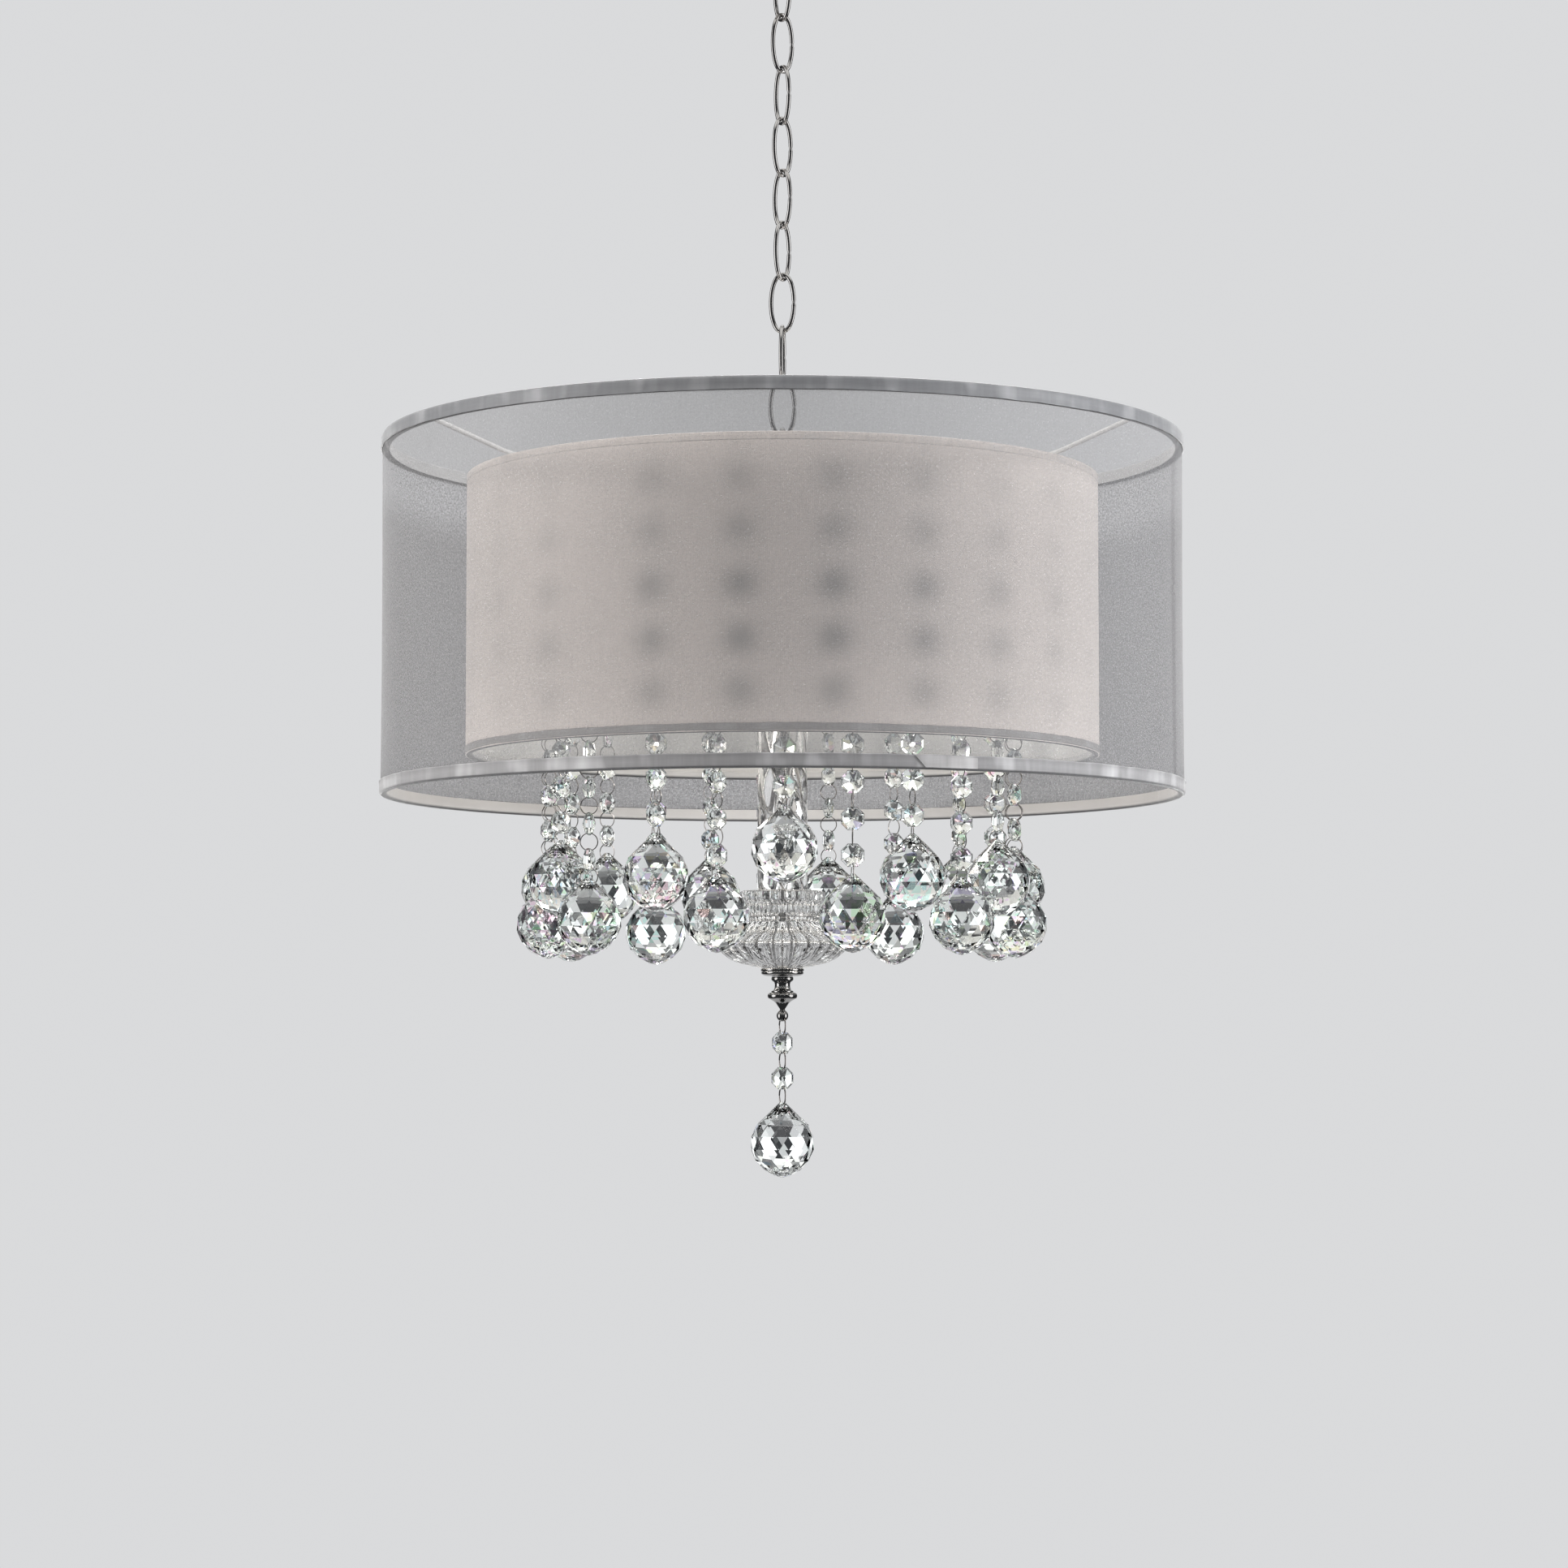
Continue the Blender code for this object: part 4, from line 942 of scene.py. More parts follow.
@dataclass(frozen=True)
class Lining(Finish):
    """Opaque cloth of the inner shade, whiter inside, with the beads' soft shadows."""

    radius: float = 0.2004
    inside: Color = (0.80, 0.785, 0.765)
    shadow: Color = (0.24, 0.23, 0.22)

    def dress(self, nodes: Nodes, sockets: Sockets) -> None:
        """Adds the grain, the shadows and the white inner face.

        Args:
            nodes: The material's nodes.
            sockets: The shader's inputs.
        """
        cloth = WEAVE.use(nodes, Radius=self.radius, Threads=1300.0, Slubs=1100.0)
        grain = nodes.spread(cloth["Slubs"], 0.3, 0.7)
        woven = nodes.blend(grain, toned(self.color, 0.992), toned(self.color, 1.008))
        patches = nodes.spread(cloth["Clouds"], 0.35, 0.7, 0.0, 0.25)
        woven = nodes.blend(patches, woven, toned(self.color, 1.08))
        cast = nodes.add("Attribute", attribute_name="bead_shade")["Fac"]
        outside = nodes.blend(nodes.times(cast, 0.72), woven, self.shadow)
        inner = nodes.math("LESS_THAN", nodes.reach(), self.radius - 0.0004)
        white = nodes.blend(grain, toned(self.inside, 0.94), self.inside)
        threads = nodes.bump(cloth["Threads"], 0.00005, 0.5)
        nodes.feeds(
            sockets,
            Base_Color=nodes.blend(inner, outside, white),
            Roughness=nodes.line(grain, -0.12, self.roughness),
            Sheen_Weight=0.25,
            Normal=nodes.bump(cloth["Slubs"], 0.00008, 0.5, threads),
        )


@dataclass(frozen=True)
class FrostedBulb(Finish):
    """Opal glass of a lit bulb."""

    glow: Color = (1.0, 0.93, 0.82)
    strength: float = 0.9

    def dress(self, nodes: Nodes, sockets: Sockets) -> None:
        """Adds the opal glass's uneven glow and its gloss.

        Args:
            nodes: The material's nodes.
            sockets: The shader's inputs.
        """
        wear = WEAR.use(nodes, Scale=1.0, Dust=0.1)
        tone = nodes.spread(wear["Smudges"], 0.3, 0.7)
        nodes.feeds(
            sockets,
            Emission_Color=nodes.blend(tone, toned(self.glow, 0.85), self.glow),
            Emission_Strength=self.strength,
            Roughness=nodes.line(wear["Scratches"], 0.1, self.roughness),
            Coat_Weight=0.3,
        )


CLEAR = (0.99, 0.99, 0.985)
NICKEL = Metal("polished_nickel", Slot.NICKEL, (0.60, 0.59, 0.575), 0.06, scratches=0.05)
DARK_NICKEL = Metal(
    "dark_nickel", Slot.NICKEL, (0.42, 0.41, 0.405), 0.05, scratches=0.04, dust=0.08, tarnish=(0.32, 0.29, 0.27)
)
BLACK_NICKEL = Metal(
    "black_nickel", Slot.NICKEL, (0.36, 0.352, 0.348), 0.05, scratches=0.04, dust=0.05, tarnish=(0.16, 0.145, 0.135)
)
STEEL = Metal("plated_steel", Slot.STEEL, (0.52, 0.52, 0.53), 0.28, scratches=0.2, dust=0.3)
BEAD_WIRE = Metal("bead_wire", Slot.NICKEL, (0.34, 0.32, 0.31), 0.16, dust=0.0, tarnish=(0.22, 0.20, 0.19))
ENAMEL = Painted("white_enamel", Slot.FRAME_WIRE, (0.58, 0.57, 0.555), 0.34)
SOCKET_PLASTIC = Painted("moulded_socket", Slot.SOCKET_PLASTIC, (0.80, 0.78, 0.74), 0.42, coat=0.1)
NYLON = Painted("moulded_nylon", Slot.BUSHING_NYLON, (0.74, 0.74, 0.71), 0.45, coat=0.05)
CUT_CRYSTAL = Glass("cut_crystal", Slot.CRYSTAL, (0.945, 0.978, 0.966), 0.0, tint=0.02, flecks=0.07)
COLUMN_GLASS = Glass(
    "column_glass", Slot.PRESSED_GLASS, CLEAR, 0.0, ripple=0.00006, flutes=3.0, twist=19.11, top=-0.5373
)
CROWN_GLASS = Glass("crown_glass", Slot.PRESSED_GLASS, CLEAR, 0.0, ripple=0.0001, flutes=24.0)
BOWL_GLASS = Glass("bowl_glass", Slot.PRESSED_GLASS, CLEAR, 0.0, ripple=0.00004, flutes=15.0)
ORGANZA = Organza("outer_organza", Slot.ORGANZA, (0.125, 0.125, 0.129), 0.55)
OUTER_TAPE = Satin("outer_satin_tape", Slot.ORGANZA, (0.18, 0.178, 0.182), 0.36)
OUTER_TAPE_END = Satin("outer_tape_cut_end", Slot.ORGANZA, (0.225, 0.22, 0.222), 0.36)
OUTER_BINDING = Satin(
    "outer_top_binding", Slot.ORGANZA, (0.12, 0.122, 0.128), 0.30,
    # Top binding: lighter pucker crests as a painted highlight, and its own painted light level on the inside face.
    edge=(0.40, 0.40, 0.41), inside_painted_light=(0.29, 0.288, 0.285),
)
INNER_TAPE = Satin("inner_hem_tape", Slot.LINING, (0.34, 0.325, 0.315), 0.5, radius=0.2004)
INNER_BINDING = Satin("inner_top_binding", Slot.LINING, (0.86, 0.775, 0.725), 0.75, radius=0.2004)
LINING = Lining("inner_lining", Slot.LINING, (0.88, 0.79, 0.74), 0.85)
BULB_GLASS = FrostedBulb("opal_bulb_glass", Slot.BULB_GLASS, (0.93, 0.92, 0.89), 0.3)


@dataclass
class Studio:
    """Camera, lamps, floor and surroundings."""

    lens: float = 94.21
    pitch: float = 4.03
    camera_spot: Triple = (0.001, -2.594, -0.762)
    floor_level: float = -2.4
    floor_radius: float = 9.0
    paper: Color = (0.70, 0.705, 0.715)
    bounce: Color = (0.78, 0.78, 0.785)
    room: Color = (0.22, 0.22, 0.225)
    card: Color = (0.05, 0.052, 0.056)
    strip: Color = (1.6, 1.61, 1.63)
    ground: Color = (0.07, 0.07, 0.075)
    shade: Color = (0.34, 0.34, 0.345)
    overhead: Color = (1.25, 1.25, 1.22)
    side_strip: Color = (2.5, 2.5, 2.5)
    ambient: Color = (0.70, 0.695, 0.69)
    panels: float = 8.0
    lamps: tuple[tuple[str, Triple, float, float, Color], ...] = (
        ("key", (-3.4, -0.75, 0.9), 1.6, 240.0, (1.0, 0.985, 0.96)),
        ("fill", (3.4, -0.70, 0.5), 1.6, 272.0, (0.98, 0.99, 1.0)),
        ("rim_left", (-2.0, 1.9, 0.2), 1.2, 22.0, (1.0, 1.0, 1.0)),
        ("rim_right", (2.1, 1.7, -0.2), 1.2, 18.0, (1.0, 1.0, 1.0)),
        ("top", (0.2, 0.1, 1.7), 1.4, 13.0, (1.0, 0.99, 0.97)),
    )

    def build(self) -> None:
        """Builds all of the studio."""
        bpy.context.scene.view_settings.view_transform = "Standard"
        self.camera()
        self.floor()
        self.surroundings()
        for values in self.lamps:
            self.panel(*values)
        for side in (-1, 1):
            glow = self.lamp("bulb_glow", "POINT", (0.078 * side, -0.02 * side, -0.545), 0.16, (1.0, 0.96, 0.9))
            glow.data.shadow_soft_size = 0.02

    def camera(self) -> None:
        """Builds the camera at the photograph's place."""
        data = bpy.data.cameras.new("photograph_camera")
        data.lens = self.lens
        data.sensor_width = 36.0
        data.clip_end = 60.0
        rig = linked("photograph_camera", data)
        rig.location = self.camera_spot
        rig.rotation_euler = (radians(90 + self.pitch), 0.0, 0.0)
        bpy.context.scene.camera = rig

    def floor(self) -> None:
        """Builds the plain pale floor of the room below."""
        disc = Shape().turned([(self.floor_radius, self.floor_level), (0.0, self.floor_level)], 64)
        floor = disc.object("studio_floor", smooth=False)
        paper = bpy.data.materials.new("studio_paper")
        paper.use_nodes = True
        nodes = Nodes(paper.node_tree)
        tone = nodes.spread(nodes.noise(nodes.spot(), 3.0, 3.0), 0.3, 0.7)
        pale = nodes.blend(tone, toned(self.paper, 0.40), toned(self.paper, 0.42))
        seen = nodes.add("LightPath")["Is Camera Ray"]
        nodes.feeds(
            paper.node_tree.nodes["Principled BSDF"].inputs,
            Base_Color=nodes.blend(seen, self.bounce, pale),
            Emission_Color=self.paper,
            Emission_Strength=nodes.times(seen, 0.5),
            Roughness=0.9,
        )
        floor.data.materials.append(paper)
        floor.visible_glossy = False
        floor.visible_transmission = False

    def surroundings(self) -> None:
        """Builds the world: plain paper to the eye, a tent of cards in glass, and soft strips in metal."""
        world = bpy.data.worlds.new("studio_surroundings")
        bpy.context.scene.world = world
        world.use_nodes = True
        nodes = Nodes(world.node_tree)
        parts = nodes.parts(nodes.add("TexCoord")["Generated"])
        path = nodes.add("LightPath")
        shown = nodes.blend(path["Is Glossy Ray"], self.ambient, self.mirrored(nodes, parts))
        shown = nodes.blend(path["Is Transmission Ray"], shown, self.seen_through(nodes, parts))
        shown = nodes.blend(path["Is Camera Ray"], shown, self.paper)
        nodes.feeds(world.node_tree.nodes["Background"].inputs, Color=shown, Strength=1.0)

    def seen_through(self, nodes: Nodes, parts: Sockets) -> object:
        """Builds what glass shows: paper straight behind it, with cards and strips beside it.

        Args:
            nodes: The world's nodes.
            parts: The direction's parts.

        Returns:
            The colour.
        """
        turn = nodes.math("ARCTAN2", parts["X"], parts["Y"])
        wave = nodes.math("COSINE", nodes.times(turn, self.panels))
        cards = nodes.blend(nodes.spread(wave, 0.80, 0.68), self.paper, self.card)
        strips = nodes.blend(nodes.spread(wave, -0.30, -0.42), cards, self.strip)
        ground = nodes.blend(nodes.spread(parts["Z"], -0.36, -0.62), self.ground, self.shade)
        below = nodes.blend(nodes.spread(wave, -0.05, -0.35), ground, self.paper)
        above = nodes.blend(nodes.spread(wave, -0.35, -0.05), self.room, self.overhead)
        lower = nodes.blend(nodes.spread(parts["Z"], -0.07, -0.19), strips, below)
        return nodes.blend(nodes.spread(parts["Z"], 0.26, 0.40), lower, above)

    def mirrored(self, nodes: Nodes, parts: Sockets) -> object:
        """Builds what metal shows: paper behind it, a dark room in front, a bright strip at each side.

        Args:
            nodes: The world's nodes.
            parts: The direction's parts.

        Returns:
            The colour.
        """
        side = nodes.math("ABSOLUTE", parts["X"])
        behind = nodes.times(nodes.spread(parts["Y"], -0.02, 0.06), nodes.spread(side, 0.50, 0.38))
        room = nodes.blend(behind, self.card, self.paper)
        edge = nodes.times(nodes.spread(side, 0.80, 0.86), nodes.spread(parts["Y"], 0.04, -0.04))
        room = nodes.blend(edge, room, self.side_strip)
        return nodes.blend(nodes.spread(parts["Z"], 0.55, 0.68), room, self.overhead)

    @staticmethod
    def lamp(name: str, kind: str, spot: Triple, watts: float, color: Color) -> Piece:
        """Adds a lamp that the camera doesn't see.

        Args:
            name: The lamp's name.
            kind: AREA or POINT.
            spot: Its place.
            watts: Its power.
            color: Its colour.

        Returns:
            The lamp.
        """
        data = bpy.data.lights.new(name, kind)
        data.energy = watts
        data.color = color
        lamp = linked(name, data)
        lamp.location = spot
        lamp.visible_camera = False
        return lamp

    def panel(self, name: str, spot: Triple, size: float, watts: float, color: Color) -> None:
        """Adds a soft round panel that points at the light's middle.

        Args:
            name: The lamp's name.
            spot: Its place.
            size: The width of its panel.
            watts: Its power.
            color: Its colour.
        """
        panel = self.lamp(name, "AREA", spot, watts, color)
        panel.data.shape = "DISK"
        panel.data.size = size
        panel.rotation_euler = (raised(-0.5) - Vector(spot)).to_track_quat("-Z", "Y").to_euler()
        panel.visible_glossy = False
        panel.visible_transmission = False


@dataclass
class Levels:
    """Heights that the pieces share, in metres, as the solids have them."""

    canopy_bottom: float = -25.0 * MM
    collar_top: float = -25.3 * MM
    collar_bottom: float = -34.3 * MM
    canopy_loop: float = -44.8 * MM
    chain_top: float = -52.3 * MM
    link_pitch: float = 33.7 * MM
    fixture_loop: float = -363.3 * MM
    fixture_collar_top: float = -374.3 * MM
    fixture_collar_bottom: float = -382.3 * MM
    outer_hub_top: float = -382.6 * MM
    outer_arm: float = -383.6 * MM
    inner_arm: float = -386.9 * MM
    plate_top: float = -388.7 * MM
    plate_bottom: float = -390.7 * MM
    strand_pivot: float = -396.5 * MM
    lamp_body_top: float = -512.0 * MM
    lamp_body_bottom: float = -537.0 * MM
    lamp_arm: float = -532.0 * MM
    column_top: float = -537.3 * MM
    column_bottom: float = -646.9 * MM
    crown_top: float = -647.2 * MM
    crown_bottom: float = -666.9 * MM
    bowl_top: float = -667.2 * MM
    bowl_bottom: float = -695.7 * MM
    cap_top: float = -696.0 * MM
    cap_bottom: float = -701.0 * MM
    finial_top: float = -701.3 * MM
    finial_eye: float = -725.85 * MM
    finial_bottom: float = -729.6 * MM
    drop_ring: float = -732.15 * MM


LEVELS = Levels()


@dataclass
class Canopy:
    """Ceiling canopy, its screw collar and loop, the crossbar and the cord bushing."""

    radius: float = 63.5 * MM
    wall: float = 1.2 * MM
    edge_round: float = 11.0 * MM
    collar_radius: float = 11.0 * MM
    nipple_radius: float = 5.0 * MM
    loop_inner: float = 7.5 * MM
    loop_wire: float = 2.0 * MM
    loop_yaw: float = 37.0
    bushing_offset: float = 27.0 * MM

    def build(self, frame: dict) -> None:
        """Builds the pieces that stay at the ceiling.

        Args:
            frame: The loaded frame.
        """
        self.dish()
        self.collar()
        self.bushing()
        bar = frame["nodes"]["crossbar"]
        bar.data.materials.clear()
        bar.data.materials.append(STEEL.material())

    def edge(self, reach: float) -> Profile:
        """Gives the round edge of the dish, at a distance from its middle."""
        middle, rise = self.radius - self.edge_round, LEVELS.canopy_bottom + self.edge_round
        angles = [pi / 2 * step / 14 for step in range(15)]
        return [(middle + reach * cos(angle), rise - reach * sin(angle)) for angle in angles]

    def dish(self) -> None:
        """Builds the canopy's dish with a rolled rim."""
        bottom, hole = LEVELS.canopy_bottom, self.nipple_radius + 0.3 * MM
        profile = [
            (self.radius - self.wall, 0.0),
            (self.radius - self.wall / 2, 0.25 * MM),
            *offsets(self.radius, 0.0, (0.0, 0.0), (0.0, -2.0), (-0.35, -2.4), (0.0, -2.8)),
            *self.edge(self.edge_round),
            *offsets(hole, bottom, (0.4, 0.0), (0.0, 0.4)),
            (hole, bottom + self.wall),
            *self.edge(self.edge_round - self.wall)[::-1],
        ]
        dish = Shape().turned(profile, 128, closes=True)
        dish.piece("canopy_dish", NICKEL, "canopy", body=Body.CEILING, sharp=50)

    def collar(self) -> None:
        """Builds the knurled screw collar, its nipple and the hanging loop."""
        top, bottom = LEVELS.collar_top, LEVELS.collar_bottom
        profile = [
            (0.0, -0.3 * MM),
            *offsets(self.nipple_radius, 0.0, (-0.5, -0.3), (0.0, -0.8)),
            (self.nipple_radius, top),
            *offsets(self.collar_radius, top, (-0.8, 0.0), (0.0, -0.8)),
            *offsets(self.collar_radius, bottom, (0.0, 2.4), (-0.8, 1.6)),
            (self.collar_radius * 0.62, bottom + 0.64 * MM),
            (self.loop_wire * 1.4, bottom),
            (0.0, bottom),
        ]
        shape = Shape().turned(profile, 72, ripple=self.knurl)
        shape.eye(LEVELS.canopy_loop, self.loop_inner, self.loop_wire, self.loop_yaw)
        shape.piece("canopy_hanging_loop", NICKEL, "canopy_loop", body=Body.CEILING)

    @staticmethod
    def knurl(angle: float, share: float) -> float:
        """Gives the collar's fine grip ribs."""
        return -0.25 * MM * (0.5 + 0.5 * cos(36 * angle)) if 0.45 < share < 0.7 else 0.0

    def bushing(self) -> None:
        """Builds the nylon bushing of the supply cord's hole."""
        inside = ((3.5, 3.2), (5.0, 3.2), (5.5, 2.6), (5.5, -0.3), (7.1, -0.3))
        flange = ((7.5, -0.8), (7.2, -1.8), (6.2, -2.3), (4.2, -2.3), (3.5, -1.6))
        profile = offsets(0.0, LEVELS.canopy_bottom, *inside, *flange)
        ring = Shape().turned(profile, 40, center=(self.bushing_offset, 0, 0), closes=True)
        ring.piece("supply_bushing", NYLON, "cord_bushing", body=Body.CEILING)


@dataclass
class Chain:
    """Nine wire links and the loop that carries the light."""

    yaws: tuple[float, ...] = (-53, 37, -57, 46, -50, 56, -17, 83, 0)
    width: float = 18.0 * MM
    wire: float = 1.4 * MM
    gap: float = 0.3 * MM
    fullness: float = 0.88
    loop_wire: float = 2.0 * MM
    loop_inner: float = 8.0 * MM
    collar_radius: float = 7.5 * MM
    seam_groove: float = 0.7 * MM
    seam_share: float = 0.72

    def build(self) -> None:
        """Builds each link and the fixture loop."""
        for index, yaw in enumerate(self.yaws):
            self.link(index, yaw)
        self.fixture_loop()

    def contact(self, index: int) -> float:
        """Gives the height where a link rests on what is above it."""
        return LEVELS.chain_top - LEVELS.link_pitch * index

    def link(self, index: int, yaw: float) -> None:
        """Builds one link, with the butt seam where its wire closes.

        Args:
            index: The link's number from the top, from 0.
            yaw: The turn of its plane.
        """
        top = self.contact(index) + self.gap + self.wire
        bottom = self.contact(index + 1) - self.wire
        half, middle = (top - bottom) / 2, (top + bottom) / 2
        across = facing(yaw) * (self.width / 2 - self.wire)
        path = []
        for angle in turns(64):
            reach = copysign(abs(cos(angle)) ** self.fullness, cos(angle))
            path.append(across * reach + raised(middle + half * sin(angle)))
        shape = Shape().tube(path, self.wire, 12, closed=True)
        self.seam(shape, across + raised(middle))
        name = f"chain_link_{index + 1}"
        shape.piece(f"wire_link_{index + 1}", DARK_NICKEL, name, body=name, sharp=60)

    def seam(self, shape: Shape, spot: Vector) -> None:
        """Narrows the wire to a fine groove where its ends meet.

        Args:
            shape: The link's shape.
            spot: Where the seam is.
        """
        for index, point in enumerate(shape.points):
            if abs(point.z - spot.z) < self.seam_groove and (point - spot).length < 2 * self.wire:
                level = Vector((spot.x, spot.y, point.z))
                shape.points[index] = level + (point - level) * self.seam_share

    def fixture_loop(self) -> None:
        """Builds the loop on its screw collar."""
        top, bottom, reach = LEVELS.fixture_collar_top, LEVELS.fixture_collar_bottom, self.collar_radius
        profile = [
            (0.0, top),
            (self.loop_wire * 1.3, top),
            (reach * 0.62, top - 0.5 * MM),
            *offsets(reach, top, (-0.9, -1.6), (0.0, -2.4)),
            *offsets(reach, bottom, (0.0, 1.2), (-0.5, 0.9), (0.0, 0.6), (-0.3, 0.0)),
            (0.0, bottom),
        ]
        shape = Shape().turned(profile, 64)
        shape.eye(LEVELS.fixture_loop, self.loop_inner, self.loop_wire, 90)
        shape.piece("light_hanging_loop", DARK_NICKEL, "fixture_loop")


@dataclass
class Frames:
    """Wire frames of both shades, the rod, and the flat ring that carries the strands."""

    arms: tuple[float, ...] = (-60, 60, 180)
    spokes: tuple[float, ...] = (30, 150, 270)
    wire: float = 1.5 * MM
    outer_ring: float = 251.4 * MM
    inner_ring: float = 197.8 * MM
    bend: float = 190.4 * MM
    hub: float = 14.0 * MM
    bore: float = 5.3 * MM
    plate_width: float = 10.0 * MM
    hem: float = 2.0 * MM
    thread_pitch: float = 1.25 * MM
    nut: float = 8.0 * MM

    def build(self, strands: Sequence[Strand]) -> None:
        """Builds the frames.

        Args:
            strands: The strands, for the hooks that carry them.
        """
        self.rod()
        self.outer_frame()
        self.inner_frame()
        self.bottom_rings()
        self.crystal_frame(strands)

    def ring(self, shape: Shape, radius: float, height: float) -> None:
        """Adds a level ring of wire."""
        path = [around(radius, 360 * step / 180, height) for step in range(180)]
        shape.tube(path, self.wire, 10, closed=True)

    def disc(self, shape: Shape, top: float, bottom: float) -> None:
        """Adds a hub's washer, with eased edges.

        Args:
            shape: The frame's shape.
            top: The washer's upper level.
            bottom: Its lower level.
        """
        profile = [
            (self.bore, top),
            *offsets(self.hub, top, (-0.3, 0.0), (0.0, -0.3)),
            *offsets(self.hub, bottom, (0.0, 0.3), (-0.3, 0.0)),
            (self.bore, bottom),
        ]
        shape.turned(profile, 64, closes=True)

    def outer_frame(self) -> None:
        """Builds the outer shade's top ring, with three arms that step down to the hub."""
        shape = Shape()
        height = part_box("outer_shade")[1].z - self.hem
        self.ring(shape, self.outer_ring, height)
        self.disc(shape, LEVELS.outer_hub_top, LEVELS.outer_hub_top - 2.0 * MM)
        for azimuth in self.arms:
            start = around(self.hub - self.wire, azimuth, LEVELS.outer_arm)
            knee = around(self.bend, azimuth, LEVELS.outer_arm)
            end = around(self.outer_ring, azimuth, height)
            shape.tube(self.rounded(start, knee, end, 9.0 * MM), self.wire, 10)
        shape.piece("outer_wire_frame", ENAMEL, "outer_shade_frame")

    @staticmethod
    def rounded(start: Vector, knee: Vector, end: Vector, ease: float) -> list[Vector]:
        """Gives a path with a round bend at its knee.

        Args:
            start: Where the path starts.
            knee: The corner.
            end: Where the path ends.
            ease: How far from the corner the bend starts.

        Returns:
            The path's points.
        """
        first = knee + (start - knee).normalized() * ease
        last = knee + (end - knee).normalized() * ease
        path = [start, start.lerp(first, 0.5)]
        for step in range(9):
            share = step / 8
            path.append(first.lerp(knee, share).lerp(knee.lerp(last, share), share))
        return [*path, last.lerp(end, 0.5), end]

    def inner_frame(self) -> None:
        """Builds the inner shade's top ring on its three level arms."""
        shape = Shape()
        level = LEVELS.inner_arm
        self.ring(shape, self.inner_ring, level)
        self.disc(shape, level + self.wire, level - self.wire)
        for azimuth in self.arms:
            start = around(self.hub - self.wire, azimuth, level)
            shape.straight(start, around(self.inner_ring, azimuth, level), 6, self.wire, 10)
        shape.piece("inner_wire_frame", ENAMEL, "inner_shade_frame")

    def bottom_rings(self) -> None:
        """Builds the rings in the shades' lower hems."""
        for name, radius in (("outer", self.outer_ring), ("inner", self.inner_ring)):
            shape = Shape()
            self.ring(shape, radius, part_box(f"{name}_shade")[0].z + self.hem)
            shape.piece(f"{name}_hem_wire", ENAMEL, f"{name}_shade_bottom_ring")

    def rod(self) -> None:
        """Builds the threaded rod with its hexagon nut."""
        shape = Shape().turned(self.thread(), 24)
        top, bottom = LEVELS.plate_bottom - 0.3 * MM, LEVELS.plate_bottom - 6.3 * MM
        profile = [(4.6 * MM, top), (self.nut * 0.9, top), (self.nut, top - 0.7 * MM)]
        profile += [(self.nut, bottom + 0.7 * MM), (self.nut * 0.9, bottom), (4.6 * MM, bottom)]
        shape.turned(profile, 6, closes=True)
        shape.piece("threaded_rod", STEEL, "stem_rod", sharp=25)

    def thread(self) -> Profile:
        """Gives the rod's profile, thick down to the lamps and thin below them.

        Returns:
            The profile, with the thread's ridges.
        """
        profile = [(0.0, LEVELS.outer_hub_top)]
        for radius, top, bottom in (
            (5.0 * MM, LEVELS.outer_hub_top, LEVELS.lamp_body_bottom),
            (3.0 * MM, LEVELS.lamp_body_bottom, LEVELS.cap_bottom),
        ):
            for ridge in range(int((top - bottom) / self.thread_pitch)):
                level = top - self.thread_pitch * ridge
                profile += [(radius * 0.86, level - 0.1 * MM), (radius, level - self.thread_pitch / 2)]
            profile.append((radius * 0.86, bottom + 0.05 * MM))
        return [*profile, (0.0, LEVELS.cap_bottom)]

    def crystal_frame(self, strands: Sequence[Strand]) -> None:
        """Builds the flat ring on three spokes, with a hook for each strand.

        Args:
            strands: The strands that hang on it.
        """
        top, bottom = LEVELS.plate_top, LEVELS.plate_bottom
        inside, outside = STRAND_CIRCLE - self.plate_width / 2, STRAND_CIRCLE + self.plate_width / 2
        profile = [
            *offsets(inside, top, (0.35, 0.0)),
            *offsets(outside, top, (-0.35, 0.0), (0.0, -0.35)),
            *offsets(outside, bottom, (0.0, 0.35), (-0.35, 0.0)),
            *offsets(inside, bottom, (0.35, 0.0), (0.0, 0.35)),
            *offsets(inside, top, (0.0, -0.35)),
        ]
        shape = Shape().turned(profile, 144, closes=True)
        self.disc(shape, top, bottom)
        middle, up = (top + bottom) / 2, raised(0.5 * MM)
        for azimuth in self.spokes:
            side = facing(azimuth) * (3.5 * MM)
            reaches = (self.hub - 4.0 * MM, STRAND_CIRCLE * 0.5, STRAND_CIRCLE)
            spots = [around(reach, azimuth, middle) for reach in reaches]
            corners = (-side - up, side - up, side + up, -side + up)
            shape.rows([[spot + corner for corner in corners] for spot in spots], capped=True)
        for strand in strands:
            self.hook(shape, strand, middle)
        shape.piece("strand_ring", STEEL, "crystal_frame")

    def hook(self, shape: Shape, strand: Strand, root: float) -> None:
        """Adds the small hook that carries one strand.

        Args:
            shape: The frame's shape.
            strand: The strand.
            root: The level where the hook leaves the plate.
        """
        spot = around(STRAND_CIRCLE, strand.azimuth, LEVELS.strand_pivot)
        side = facing(strand.yaw) * (2.2 * MM)
        path = [spot + side + raised(1.2 * MM)]
        for step in range(9):
            angle = pi * step / 8
            path.append(spot + side * cos(angle) + raised(1.0 * MM - 1.0 * MM * sin(angle)))
        path.append(spot - side + raised(1.6 * MM))
        lift = raised(LEVELS.strand_pivot - min(point.z for point in path))
        start = spot + side + raised(root - LEVELS.strand_pivot)
        shape.tube([start, *(point + lift for point in path)], 0.6 * MM, 8)


